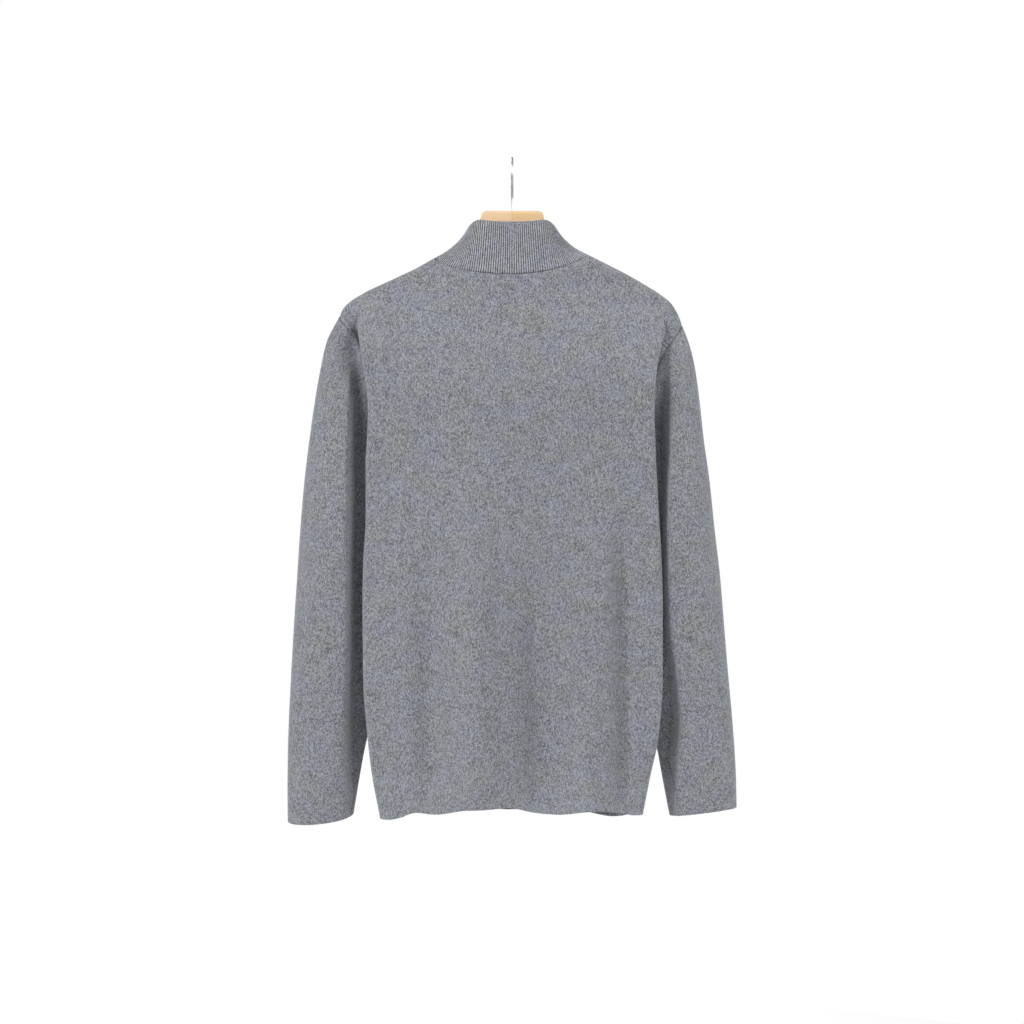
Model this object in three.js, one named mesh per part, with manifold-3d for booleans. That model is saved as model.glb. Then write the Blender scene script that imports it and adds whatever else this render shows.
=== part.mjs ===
// Zip-up cardigan on a wooden hanger.
//
// Millimetres, +Z up. The origin is the inside of the hook's crown, where the rail carries it.
// +X is the wearer's left, +Y the back of the cardigan and -Y its front.
//
// The knitted pieces are walls: a point on the face of the cloth, and the same point
// moved in by the thickness of the cloth. Pieces that are sewn together share their seam points
// and seam normals, and each is then drawn back from the seam by half of the seam gap.

import * as THREE from 'three'
import { mergeVertices } from 'three/addons/utils/BufferGeometryUtils.js'
import Module from 'manifold-3d'

const wasm = await Module()
wasm.setup()

// ---------------------------------------------------------------- driving dimensions

const CLOTH = 2.0                 // thickness of the knit
const SEAM_GAP = 0.3              // clearance between neighbouring pieces
const NECK_HALF_WIDTH = 96        // centre to the high point of the shoulder
// Neck seam: how far it stands off the hanger at its lowest, its height there, and the power
// of its curve on each side.
const NECK = {
  back: { depth: 26, low: -144.8, left: 1.2, right: 1.7 },
  front: { depth: 84, low: -197, left: 1, right: 1 }
}
// Below the neck seam its curve widens by these shares of its width, and softens.
const NECK_SPREAD = { back: 0.1, front: 0.4 }
const NECK_WIDENING_FALL = 120
const NECK_SOFTENING_FALL = 50
const SHOULDER_FLAT = 178         // where the flat back ends at the shoulder seam
const ARMPIT = { x: 150, z: -375 }
const SHOULDER_ROLL = 8.8         // radius of the cloth where it turns over the hanger
// Fall over which the cloth leaves the hanger for its full depth, at the middle and at each side.
const FLARE = { middle: 160, left: 75, right: 120 }
const TOP_WIDTH_HEIGHT = -162     // above this the flat of a panel keeps its width
const FOLD_START = 8              // fall below the shoulder seam at which the side fold begins
const FOLD_FALL = 40              // further fall over which the side fold forms
const FOLD_LEAD = 14              // distance from the flat of a panel to its fold edge
const FOLD_RADIUS = 6
const FOLD_ROUND = 0.35           // most that the radius takes of the depth at a fold
const FOLD_PULL = 0.35            // how far the gusset leans on the fold before it turns in
const FOLD_TURN = 0.2             // least angle of the bend, in radians
const ZIP_EDGE = 4.5              // centre line to the front edge of a panel
const TAPE_EDGE = 15              // centre line to the outer edge of a zip tape
const TAPE_RIBS = 3.2             // collar ribs that a tape covers
const TAPE_THICKNESS = 1.0
const TAPE_GAP = 0.5              // clearance between a tape and the knit in front of it
const CHAIN = { halfWidth: 3, proud: 0.4 }
const BOX = { start: 1, height: 10, halfWidth: 3.6, proud: 1.0 }
const COLLAR_ABOVE_SLIDER = 7     // free collar edge above the slider
const SLIDER = {
  length: 12,
  stemHalfWidth: 3.2,
  plateHalfWidth: 4.9,
  plateBack: 1.2,
  plateFront: 2.4,
  earInside: 2.4,
  earWidth: 1.2,
  earLength: 4,
  earTop: 5.4,
  earRoot: 0.6,
  pivotDown: 4.5
}
const PULL = {
  length: 26,
  halfWidth: 3,
  neckHalfWidth: 1.9,
  neckLength: 5,
  shoulder: 2,
  thickness: 1.4,
  bevel: 0.3,
  barrelRadius: 1.3
}
const HANGER = {
  halfThickness: 6.2,
  seat: 2.6,                      // top of an arm below the face of the shoulder seam
  roundSteps: 4,
  thinFrom: 140,
  thinOver: 50,
  thinning: 0.3,                  // share of its thickness that an arm loses towards its end
  tipSlope: 0.45
}
const HOOK = {
  wireRadius: 1.75,
  innerRadius: 18,
  boreRadius: 2.1,
  boreDepth: 26,
  stemTop: -50,
  neckReach: 11,
  neckSteps: 4,
  arcStart: -0.45,
  arcEnd: 3.55,
  arcSteps: 16,
  sides: 8
}
const HEM_HEIGHT = { back: -809.5, front: -819.5 }

const RIBS_BACK = 36              // collar ribs from the centre back to the shoulder
const RIBS_FRONT = 48             // collar ribs from the shoulder to the zip
const RIB_RELIEF = 0.8
const COLLAR_ROWS = 3
const COLLAR_HOLLOW = { back: 1.5, side: 6.5, front: 2.5 }
const COLLAR_BOW = 27 / 8         // the hollow is deepest a third of the way up
const COLLAR_CENTRE = -25         // y of the point that the collar leans towards
const FLAT_RIBS = 12              // ribs beside the centre back that keep its hollow
const RIBS_PER_INNER_STEP = 2

// Grid of the panels: columns run from hem to top edge, rows from side to side.
const NECK_COLUMNS = 7
const FLAT_COLUMNS = 12
const FOLD_STOPS = [0, 0.15, 0.27, 0.38, 0.5, 0.75, 1]
const LINE_END = 0.15             // share of the fold stretch before the bend
const BEND_END = 0.5              // share of the fold stretch where the gusset starts
const SEAM_COLUMN = FLAT_COLUMNS + FOLD_STOPS.length - 1
const ROLL_ROWS = 3
const ARMHOLE_ROWS = 8
const SIDE_ROWS = 10
const ARMPIT_ROW = ROLL_ROWS + ARMHOLE_ROWS
const HEM_ROW = ARMPIT_ROW + SIDE_ROWS
const LAST_RING = 13

// ---------------------------------------------------------------- tables

// Shoulder seam, from the neck to the sleeve.
const SHOULDER = [
  { x: 96, left: -121.8, right: -118.8 },
  { x: 119, left: -135, right: -130.4 },
  { x: 134, left: -142.2, right: -138 },
  { x: 149, left: -149.2, right: -146 },
  { x: 163, left: -155.6, right: -154.2 },
  { x: 178, left: -162.5, right: -163.2 },
  { x: 190, left: -169, right: -171.5 },
  { x: 197, left: -173.2, right: -177 },
  { x: 203, left: -177.4, right: -185 },
  { x: 209, left: -183, right: -196 },
  { x: 212.5, left: -188, right: -206 },
  { x: 215, left: -194, right: -210 }
]
const SHOULDER_TIP = { left: { x: 215, z: -194 }, right: { x: 212.5, z: -206 } }

// Half of an armhole, from the shoulder tip (down 0) to the armpit (down 1).
const ARMHOLE = [
  { down: 0, left: 215, right: 212.5, leftDepth: 0, rightDepth: 0 },
  { down: 0.008, left: 214.9, right: 212.1, leftDepth: 4, rightDepth: 4 },
  { down: 0.024, left: 214.4, right: 211.2, leftDepth: 6.6, rightDepth: 6.6 },
  { down: 0.05, left: 213, right: 209, leftDepth: 8.8, rightDepth: 8.8 },
  { down: 0.09, left: 206, right: 204, leftDepth: 12, rightDepth: 13 },
  { down: 0.14, left: 198, right: 197, leftDepth: 9, rightDepth: 17 },
  { down: 0.18, left: 193.5, right: 192.5, leftDepth: 8.5, rightDepth: 18.5 },
  { down: 0.23, left: 188.8, right: 187.4, leftDepth: 12, rightDepth: 20 },
  { down: 0.28, left: 185.1, right: 183.2, leftDepth: 17.5, rightDepth: 21.2 },
  { down: 0.4, left: 178, right: 174, leftDepth: 19, rightDepth: 22 },
  { down: 0.6, left: 168.5, right: 167, leftDepth: 20, rightDepth: 22 },
  { down: 0.8, left: 158.5, right: 158, leftDepth: 17, rightDepth: 18 },
  { down: 0.94, left: 152.5, right: 152.5, leftDepth: 9, rightDepth: 9 },
  { down: 1, left: 150, right: 150, leftDepth: 0, rightDepth: 0 }
]

// Side of the body: half width at the fold edge, half width at the side seam,
// and depth of the cloth at the fold edge and at the centre.
const BODY = [
  { z: -160, left: 196, right: 196, seam: 150, edge: 52, back: 56, front: 88 },
  { z: -207, left: 193, right: 193, seam: 150, edge: 52, back: 57, front: 86 },
  { z: -225, left: 187.5, right: 184, seam: 150, edge: 52, back: 57, front: 85 },
  { z: -250, left: 182.5, right: 176, seam: 150, edge: 52, back: 58, front: 84 },
  { z: -300, left: 177, right: 174.5, seam: 150, edge: 52, back: 59, front: 82 },
  { z: -353, left: 178.5, right: 176.5, seam: 150, edge: 52, back: 60, front: 81 },
  { z: -375, left: 180, right: 177, seam: 150, edge: 52, back: 60, front: 80 },
  { z: -390, left: 180, right: 178, seam: 142, edge: 52, back: 60, front: 80 },
  { z: -410, left: 180, right: 179, seam: 138, edge: 52, back: 62, front: 80 },
  { z: -447, left: 180, right: 181, seam: 134.5, edge: 52, back: 64, front: 79 },
  { z: -500, left: 183, right: 184, seam: 133, edge: 52, back: 67, front: 78 },
  { z: -550, left: 184, right: 185.5, seam: 133, edge: 51, back: 69, front: 76 },
  { z: -650, left: 183, right: 185.5, seam: 131, edge: 49, back: 70, front: 74 },
  { z: -718, left: 178, right: 180.5, seam: 128, edge: 46, back: 69, front: 72 },
  { z: -762, left: 173, right: 171.5, seam: 124, edge: 43, back: 66, front: 69 },
  { z: -815, left: 163.5, right: 161.5, seam: 118, edge: 39, back: 57, front: 66 }
]

// Long soft folds. A fold runs down from its head, where it grows to its full height over the
// length named grow, to its foot. Height is proud of the cloth.
const FOLDS = {
  back: [
    { x: 99, drift: 0, width: 17, height: -11, head: -450, grow: 200, foot: -850 },
    { x: 44, drift: 0, width: 22, height: 12, head: -330, grow: 160, foot: -850 },
    { x: -24, drift: -22, width: 38, height: -24, head: -390, grow: 300, foot: -850 },
    { x: -98, drift: 0, width: 22, height: 5, head: -380, grow: 200, foot: -850 },
    { x: -137, drift: 0, width: 14, height: -12, head: -400, grow: 160, foot: -840 }
  ],
  front: [
    { x: 134, drift: 3, width: 15, height: -8, head: -400, grow: 180, foot: -850 },
    { x: 88, drift: 4, width: 22, height: 5, head: -340, grow: 220, foot: -860 },
    { x: 44, drift: 2, width: 17, height: -7, head: -480, grow: 200, foot: -850 },
    { x: -40, drift: -3, width: 19, height: -8, head: -440, grow: 220, foot: -860 },
    { x: -94, drift: -4, width: 20, height: 6, head: -330, grow: 240, foot: -860 },
    { x: -138, drift: 0, width: 14, height: -7, head: -450, grow: 160, foot: -830 }
  ]
}
const FOLD_FADE = 90              // length over which a fold dies at its foot

// Waves of the hem, as heights above the hem's own level.
const HEM = {
  back: [
    { x: -165, rise: -7.5 },
    { x: -106, rise: 1 },
    { x: -57, rise: -3 },
    { x: -32, rise: -1 },
    { x: 5, rise: 6 },
    { x: 32, rise: 4 },
    { x: 56, rise: 3 },
    { x: 96, rise: -3 },
    { x: 118, rise: -1 },
    { x: 141, rise: -8 },
    { x: 165, rise: -13 }
  ],
  front: [
    { x: -165, rise: 0 },
    { x: -128, rise: -7 },
    { x: -92, rise: -2 },
    { x: -38, rise: 2 },
    { x: 4, rise: 0 },
    { x: 42, rise: 2 },
    { x: 92, rise: -2 },
    { x: 128, rise: 1 },
    { x: 165, rise: -2 }
  ]
}

// Rings of a sleeve: outer line, underarm line and half depth, by ring. Towards the body, inside
// the wall, a ring sinks to the half depth named floor.
const SLEEVE = {
  left: [
    { ring: 0, outerX: 215, outerZ: -194, innerX: 150, innerZ: -375, depth: 24, wall: 205, floor: 24 },
    { ring: 1, outerX: 231.5, outerZ: -228, innerX: 151, innerZ: -377, depth: 30, wall: 205, floor: 20.5 },
    { ring: 2, outerX: 239, outerZ: -262, innerX: 152.2, innerZ: -380, depth: 35, wall: 205, floor: 19 },
    { ring: 3, outerX: 246, outerZ: -302, innerX: 153, innerZ: -385, depth: 40, wall: 205, floor: 19 },
    { ring: 4, outerX: 252.5, outerZ: -348, innerX: 153.5, innerZ: -392.5, depth: 44, wall: 205, floor: 21.5 },
    { ring: 5, outerX: 259, outerZ: -402, innerX: 154, innerZ: -402, depth: 47, wall: 205, floor: 24.5 },
    { ring: 6, outerX: 264, outerZ: -460, innerX: 156, innerZ: -460, depth: 48, wall: 205, floor: 24.5 },
    { ring: 7, outerX: 268, outerZ: -520, innerX: 159.5, innerZ: -520, depth: 47, wall: 205, floor: 24.5 },
    { ring: 8, outerX: 272, outerZ: -580, innerX: 163, innerZ: -580, depth: 45, wall: 205, floor: 24.5 },
    { ring: 9, outerX: 275.5, outerZ: -640, innerX: 169, innerZ: -640, depth: 42, wall: 206, floor: 23.5 },
    { ring: 10, outerX: 278.5, outerZ: -700, innerX: 177, innerZ: -700, depth: 38, wall: 208, floor: 15 },
    { ring: 11, outerX: 280, outerZ: -750, innerX: 186.5, innerZ: -748, depth: 34, wall: 209, floor: 13 },
    { ring: 12, outerX: 280.3, outerZ: -790, innerX: 193, innerZ: -786, depth: 30, wall: 209, floor: 12 },
    { ring: 13, outerX: 280, outerZ: -825.5, innerX: 198, innerZ: -817, depth: 26, wall: 209, floor: 11 }
  ],
  right: [
    { ring: 0, outerX: 212.5, outerZ: -206, innerX: 150, innerZ: -375, depth: 24, wall: 200, floor: 24 },
    { ring: 1, outerX: 221.5, outerZ: -231, innerX: 151, innerZ: -377, depth: 30, wall: 200, floor: 15 },
    { ring: 2, outerX: 228.5, outerZ: -262, innerX: 152.2, innerZ: -380, depth: 35, wall: 200, floor: 16.5 },
    { ring: 3, outerX: 234, outerZ: -302, innerX: 153, innerZ: -385, depth: 40, wall: 200, floor: 18.5 },
    { ring: 4, outerX: 239, outerZ: -348, innerX: 153.5, innerZ: -392.5, depth: 44, wall: 199, floor: 21.5 },
    { ring: 5, outerX: 246.5, outerZ: -402, innerX: 154, innerZ: -402, depth: 47, wall: 197, floor: 27 },
    { ring: 6, outerX: 252.5, outerZ: -460, innerX: 156, innerZ: -460, depth: 48, wall: 195, floor: 32 },
    { ring: 7, outerX: 259.5, outerZ: -520, innerX: 159.5, innerZ: -520, depth: 47, wall: 194, floor: 34 },
    { ring: 8, outerX: 264.5, outerZ: -580, innerX: 162, innerZ: -580, depth: 45, wall: 196, floor: 34 },
    { ring: 9, outerX: 269.5, outerZ: -640, innerX: 168, innerZ: -640, depth: 42, wall: 206, floor: 29 },
    { ring: 10, outerX: 275, outerZ: -700, innerX: 175, innerZ: -700, depth: 38, wall: 211, floor: 18 },
    { ring: 11, outerX: 278.5, outerZ: -748, innerX: 184, innerZ: -750, depth: 34, wall: 206, floor: 13 },
    { ring: 12, outerX: 280, outerZ: -782, innerX: 191, innerZ: -788, depth: 30, wall: 206, floor: 12 },
    { ring: 13, outerX: 280.5, outerZ: -808.5, innerX: 197, innerZ: -819, depth: 26, wall: 207, floor: 11 }
  ]
}
const PROBE = 0.03                // step, in columns or rows, at which an edge's normal is taken
const SLEEVE_SETTLED = 5          // ring from which a sleeve has left the armhole's outline
const DEPTH_SETTLED = 2           // ring from which it has left the armhole's depth
const SEAM_LEAN = 0.5             // how far a wall leans to its own face in a narrow armhole
const SLEEVE_FULLNESS = 0.65      // power of the sine that rounds a sleeve
const FLOOR_FULLNESS = 0.5        // power of the sine that rounds its sunken side
const SLEEVE_WALL = 13            // width over which a sleeve sinks towards the body
const WALL_START = { left: 0.3, right: 2.5 }  // rings over which the sinking begins
const CUFF_DIP = { left: 6, right: 0 }  // how far a cuff's back hangs below its sides
const CUFF_DIP_RINGS = 3          // rings over which it does so

// Rim of the collar, by rib from the centre back to the zip.
const RIM = [
  { rib: 0, x: 0, y: 18, z: -79 },
  { rib: 10, x: 25, y: 17, z: -78 },
  { rib: 16, x: 40.5, y: 12.5, z: -76 },
  { rib: 20, x: 47.5, y: 5, z: -77.5 },
  { rib: 33, x: 58.5, y: -24, z: -90 },
  { rib: 47, x: 63.5, y: -56, z: -108 },
  { rib: 60, x: 52, y: -84, z: -124 },
  { rib: 72, x: 29, y: -98, z: -134 },
  { rib: 84, x: 4.5, y: -102, z: -138 }
]

// Top of the hanger between the middle of its stump and the neck.
const HANGER_MIDDLE = [
  { x: 0, top: -64 },
  { x: 32.5, top: -64 },
  { x: 36.6, top: -65.2 },
  { x: 39.2, top: -68.8 },
  { x: 40.2, top: -74 },
  { x: 41, top: -87 },
  { x: 44, top: -98 },
  { x: 50, top: -111 },
  { x: 66, top: -121.5 },
  { x: 82, top: -128 },
  { x: 96, top: -132.5 },
  { x: 119, top: -137 }
]
const HANGER_END = 192
const HANGER_BOTTOM = [
  { x: 0, z: -136 },
  { x: 30, z: -138 },
  { x: 66, z: -148 },
  { x: 96, z: -160 },
  { x: 145, z: -182 },
  { x: 178, z: -196 },
  { x: 193, z: -199 }
]
// Rounding of an arm's end: reach past the last full section, and the share of it that is left.
const HANGER_TIP = [
  { reach: 2.2, share: 0.94 },
  { reach: 4, share: 0.78 },
  { reach: 5.2, share: 0.5 }
]

// ---------------------------------------------------------------- small helpers

const clamp = (value, low, high) => Math.min(Math.max(value, low), high)
const lerp = (from, to, share) => from + (to - from) * share
const vector = (x, y, z) => new THREE.Vector3(x, y, z)

function ease(share) {
  const t = clamp(share, 0, 1)
  return t * t * (3 - 2 * t)
}

// Reads a column of a table along a smooth curve that never overshoots its rows.
function read(table, key, column, at) {
  const last = table.length - 1
  const direction = Math.sign(table[last][key] - table[0][key])
  let row = 0
  while (row < last - 1 && (at - table[row + 1][key]) * direction > 0) row += 1
  const slope = k => (table[k + 1][column] - table[k][column]) / (table[k + 1][key] - table[k][key])
  const tangent = k => {
    if (k === 0) return slope(0)
    if (k === last) return slope(last - 1)
    const before = slope(k - 1)
    const after = slope(k)
    return before * after <= 0 ? 0 : 2 * before * after / (before + after)
  }
  const width = table[row + 1][key] - table[row][key]
  const t = clamp((at - table[row][key]) / width, 0, 1)
  const start = table[row][column]
  const end = table[row + 1][column]
  const rise = end - start
  const startTangent = tangent(row) * width
  const endTangent = tangent(row + 1) * width
  return start + t * startTangent
    + t * t * (3 * rise - 2 * startTangent - endTangent)
    + t * t * t * (startTangent + endTangent - 2 * rise)
}

// Unit directions along the columns and rows of a surface, and its outward normal.
function directions(surface, column, row, outward) {
  const step = PROBE / 2
  const across = surface(column + step, row).sub(surface(column - step, row)).normalize()
  const down = surface(column, row + step).sub(surface(column, row - step)).normalize()
  const normal = across.clone().cross(down).normalize().multiplyScalar(outward)
  return { across, down, normal }
}

// One closed body from its vertices and faces, turned so that its faces point outwards.
function solid(vertices, faces) {
  const volume = faces.reduce((sum, [a, b, c]) => {
    const cross = vertices[b].clone().cross(vertices[c])
    return sum + vertices[a].dot(cross)
  }, 0)
  const turned = volume < 0 ? faces.map(([a, b, c]) => [a, c, b]) : faces
  const geometry = new THREE.BufferGeometry()
  const numbers = vertices.flatMap(point => [point.x, point.y, point.z])
  geometry.setAttribute('position', new THREE.Float32BufferAttribute(numbers, 3))
  geometry.setIndex(turned.flat())
  geometry.computeVertexNormals()
  return geometry
}

// A wall of cloth. place(column, row) gives the point on its face and the point inside it.
function wall(columns, rows, place, closed = false) {
  const vertices = []
  const across = closed ? columns : columns + 1
  const outerAt = (column, row) => 2 * ((column % across) * (rows + 1) + row)
  const innerAt = (column, row) => outerAt(column, row) + 1
  for (let column = 0; column < across; column += 1) {
    for (let row = 0; row <= rows; row += 1) {
      const { outer, inner } = place(column, row)
      vertices.push(outer, inner)
    }
  }
  const faces = []
  const quad = (a, b, c, d) => {
    const firstDiagonal = vertices[a].distanceTo(vertices[c])
    const secondDiagonal = vertices[b].distanceTo(vertices[d])
    if (firstDiagonal <= secondDiagonal) faces.push([a, b, c], [a, c, d])
    else faces.push([a, b, d], [b, c, d])
  }
  for (let column = 0; column < columns; column += 1) {
    for (let row = 0; row < rows; row += 1) {
      quad(outerAt(column, row), outerAt(column + 1, row),
        outerAt(column + 1, row + 1), outerAt(column, row + 1))
      quad(innerAt(column, row + 1), innerAt(column + 1, row + 1),
        innerAt(column + 1, row), innerAt(column, row))
    }
    quad(outerAt(column + 1, 0), outerAt(column, 0), innerAt(column, 0), innerAt(column + 1, 0))
    quad(outerAt(column, rows), outerAt(column + 1, rows),
      innerAt(column + 1, rows), innerAt(column, rows))
  }
  if (!closed) {
    for (let row = 0; row < rows; row += 1) {
      quad(outerAt(0, row), outerAt(0, row + 1), innerAt(0, row + 1), innerAt(0, row))
      quad(outerAt(columns, row + 1), outerAt(columns, row),
        innerAt(columns, row), innerAt(columns, row + 1))
    }
  }
  return solid(vertices, faces)
}

// A solid bar through sections that all have the same number of corners.
function bar(sections) {
  const corners = sections[0].length
  const vertices = sections.flat()
  const faces = []
  for (let section = 0; section < sections.length - 1; section += 1) {
    for (let corner = 0; corner < corners; corner += 1) {
      const next = (corner + 1) % corners
      const a = section * corners + corner
      const b = section * corners + next
      faces.push([a, b, b + corners], [a, b + corners, a + corners])
    }
  }
  const end = (sections.length - 1) * corners
  for (let corner = 1; corner < corners - 1; corner += 1) {
    faces.push([0, corner + 1, corner], [end, end + corner, end + corner + 1])
  }
  return solid(vertices, faces)
}

// ---------------------------------------------------------------- body of the cardigan

const sideName = side => (side > 0 ? 'left' : 'right')
const faceName = face => (face > 0 ? 'back' : 'front')

// Distance from the centre of a column: at the top edge and, spread evenly, further down.
function columnAtTop(side, face, column) {
  const start = face > 0 ? 0 : Math.asin(TAPE_EDGE / NECK_HALF_WIDTH)
  const firstColumn = face > 0 ? 0 : 1
  if (column < firstColumn) return lerp(ZIP_EDGE, TAPE_EDGE, column)
  if (column <= NECK_COLUMNS) {
    const share = (column - firstColumn) / (NECK_COLUMNS - firstColumn)
    return NECK_HALF_WIDTH * Math.sin(lerp(start, Math.PI / 2, share))
  }
  if (column <= FLAT_COLUMNS) {
    const share = (column - NECK_COLUMNS) / (FLAT_COLUMNS - NECK_COLUMNS)
    return lerp(NECK_HALF_WIDTH, SHOULDER_FLAT, share)
  }
  return lerp(SHOULDER_FLAT, SHOULDER_TIP[sideName(side)].x, foldShare(column))
}

function columnBelow(face, column, flatWidth) {
  if (face > 0) return flatWidth * column / FLAT_COLUMNS
  if (column < 1) return lerp(ZIP_EDGE, TAPE_EDGE, column)
  return lerp(TAPE_EDGE, flatWidth, (column - 1) / (FLAT_COLUMNS - 1))
}

// Share of the fold stretch reached by a column past the flat of the panel.
function foldShare(column) {
  const stop = clamp(column - FLAT_COLUMNS, 0, FOLD_STOPS.length - 1)
  const before = Math.min(Math.floor(stop), FOLD_STOPS.length - 2)
  return lerp(FOLD_STOPS[before], FOLD_STOPS[before + 1], stop - before)
}

function neckRound(distance) {
  return Math.sqrt(Math.max(0, 1 - (distance / NECK_HALF_WIDTH) ** 2))
}

function topEdgeHeight(side, face, distance) {
  if (distance <= NECK_HALF_WIDTH) {
    const neck = NECK[faceName(face)]
    return lerp(SHOULDER[0][sideName(side)], neck.low, neckRound(distance) ** neck[sideName(side)])
  }
  return read(SHOULDER, 'x', sideName(side), distance)
}

function hemHeight(side, face, column) {
  const flat = read(BODY, 'z', sideName(side), HEM_HEIGHT.back) - FOLD_LEAD
  const reach = columnBelow(face, Math.min(column, FLAT_COLUMNS), flat)
  const wave = read(HEM[faceName(face)], 'x', 'rise', side * reach)
  const level = HEM_HEIGHT[faceName(face)] + wave
  const sideSeam = (HEM_HEIGHT.back + HEM_HEIGHT.front) / 2
  return lerp(level, sideSeam, ease(foldShare(column)))
}

// Share of the fall at which the armpit's row lies on a side seam.
function armpitShare(side, face) {
  const seamTop = SHOULDER_TIP[sideName(side)].z - SHOULDER_ROLL
  const seamHem = hemHeight(side, face, SEAM_COLUMN)
  return (seamTop - ARMPIT.z) / (seamTop - seamHem)
}

const MIDDLE_SHARE = (armpitShare(1, 1) + armpitShare(-1, 1)) / 2

// How far a row lies below the top edge, and the height of the cloth there.
function fall(side, face, column, row) {
  const top = topEdgeHeight(side, face, columnAtTop(side, face, column))
  if (row <= ROLL_ROWS) {
    const turn = Math.PI / 2 * Math.max(row, -1) / ROLL_ROWS
    return { top, depth: SHOULDER_ROLL * (1 - Math.cos(turn)), turn }
  }
  const hem = hemHeight(side, face, column)
  const armpit = lerp(MIDDLE_SHARE, armpitShare(side, face), ease(column / FLAT_COLUMNS))
  const share = row <= ARMPIT_ROW
    ? armpit * (row - ROLL_ROWS) / ARMHOLE_ROWS
    : lerp(armpit, 1, (row - ARMPIT_ROW) / SIDE_ROWS)
  return { top, depth: lerp(SHOULDER_ROLL, top - hem, share), turn: Math.PI / 2 }
}

function foldRelief(face, x, z) {
  return FOLDS[faceName(face)].reduce((sum, fold) => {
    const rise = ease((fold.head - z) / fold.grow)
    const centre = fold.x + fold.drift * rise
    const strength = rise * ease((z - fold.foot) / FOLD_FADE)
    return sum + fold.height * strength * Math.exp(-(((x - centre) / fold.width) ** 2))
  }, 0)
}

// Depth of the flat of a panel, in front of or behind the hanger.
function panelDepth(side, face, distance, z, drop, turn) {
  const name = faceName(face)
  const roll = drop < SHOULDER_ROLL ? SHOULDER_ROLL * Math.sin(turn) : SHOULDER_ROLL
  const spread = 1 + NECK_SPREAD[name] * ease(drop / NECK_WIDENING_FALL)
  const softening = lerp(1, 2, ease(drop / NECK_SOFTENING_FALL))
  const base = Math.hypot(NECK[name].depth * neckRound(distance / spread) ** softening, roll)
  const edge = read(BODY, 'z', 'edge', z)
  const centre = read(BODY, 'z', name, z)
  const halfWidth = read(BODY, 'z', sideName(side), z)
  const crown = lerp(edge, centre, 1 - Math.min(1, (distance / halfWidth) ** 2))
  const full = crown + foldRelief(face, side * distance, z)
  const outwards = ease((distance - NECK_HALF_WIDTH) / NECK_HALF_WIDTH)
  const flare = lerp(FLARE.middle, FLARE[sideName(side)], outwards)
  return lerp(base, full, ease(drop / flare))
}

// Where the fold stretch ends: on the armhole above the armpit, on the side seam below it.
function seamPoint(side, z) {
  const name = sideName(side)
  const tip = SHOULDER_TIP[name]
  if (z >= ARMPIT.z) {
    const down = clamp((tip.z - z) / (tip.z - ARMPIT.z), 0, 1)
    return { x: read(ARMHOLE, 'down', name, down), y: read(ARMHOLE, 'down', `${name}Depth`, down) }
  }
  return { x: read(BODY, 'z', 'seam', z), y: 0 }
}

// The side of the body seen from above: along the flat, round the fold and in to the seam.
function foldSection(side, z, depth, share) {
  const halfWidth = read(BODY, 'z', sideName(side), z)
  const seam = seamPoint(side, z)
  const radius = Math.min(FOLD_RADIUS, FOLD_ROUND * Math.max(depth - seam.y, 1))
  const middle = { x: halfWidth - radius, y: depth - radius }
  if (share <= LINE_END) {
    return { x: lerp(halfWidth - FOLD_LEAD, middle.x, share / LINE_END), y: depth }
  }
  const pull = {
    x: Math.min(seam.x, halfWidth - 1),
    y: seam.y + FOLD_PULL * (middle.y - seam.y)
  }
  const reach = Math.hypot(pull.x - middle.x, pull.y - middle.y)
  let heading = Math.atan2(pull.x - middle.x, pull.y - middle.y)
  if (heading < 0) heading += 2 * Math.PI
  const bend = Math.max(heading - Math.acos(Math.min(1, radius / reach)), FOLD_TURN)
  if (share <= BEND_END) {
    const angle = bend * (share - LINE_END) / (BEND_END - LINE_END)
    return { x: middle.x + radius * Math.sin(angle), y: middle.y + radius * Math.cos(angle) }
  }
  const t = (share - BEND_END) / (1 - BEND_END)
  const leave = { x: middle.x + radius * Math.sin(bend), y: middle.y + radius * Math.cos(bend) }
  const weight = [(1 - t) ** 2, 2 * t * (1 - t), t * t]
  return {
    x: weight[0] * leave.x + weight[1] * pull.x + weight[2] * seam.x,
    y: weight[0] * leave.y + weight[1] * pull.y + weight[2] * seam.y
  }
}

// A point on the face of the body: column 0 is the centre, row 0 the top edge.
function bodyPoint(side, face, column, row) {
  const { top, depth: drop, turn } = fall(side, face, column, row)
  const z = top - drop
  const topX = columnAtTop(side, face, Math.min(column, FLAT_COLUMNS))
  const flatWidth = read(BODY, 'z', sideName(side), Math.min(z, TOP_WIDTH_HEIGHT)) - FOLD_LEAD
  const lowX = columnBelow(face, Math.min(column, FLAT_COLUMNS), flatWidth)
  const flatX = lerp(topX, lowX, ease(drop / FLARE.middle))
  const flatY = panelDepth(side, face, flatX, z, drop, turn)
  if (column <= FLAT_COLUMNS) return vector(side * flatX, face * flatY, z)
  const share = foldShare(column)
  const folded = foldSection(side, z, flatY, share)
  const level = seamPoint(side, SHOULDER_TIP[sideName(side)].z - drop)
  const formed = ease((drop - FOLD_START) / FOLD_FALL)
  const shiftX = (flatX - (read(BODY, 'z', sideName(side), z) - FOLD_LEAD)) * (1 - share)
  const x = lerp(lerp(flatX, level.x, share), folded.x + shiftX, formed)
  const y = lerp(lerp(flatY, level.y, share), folded.y, formed)
  return vector(side * x, face * y, z)
}

// ---------------------------------------------------------------- sleeves

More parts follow.
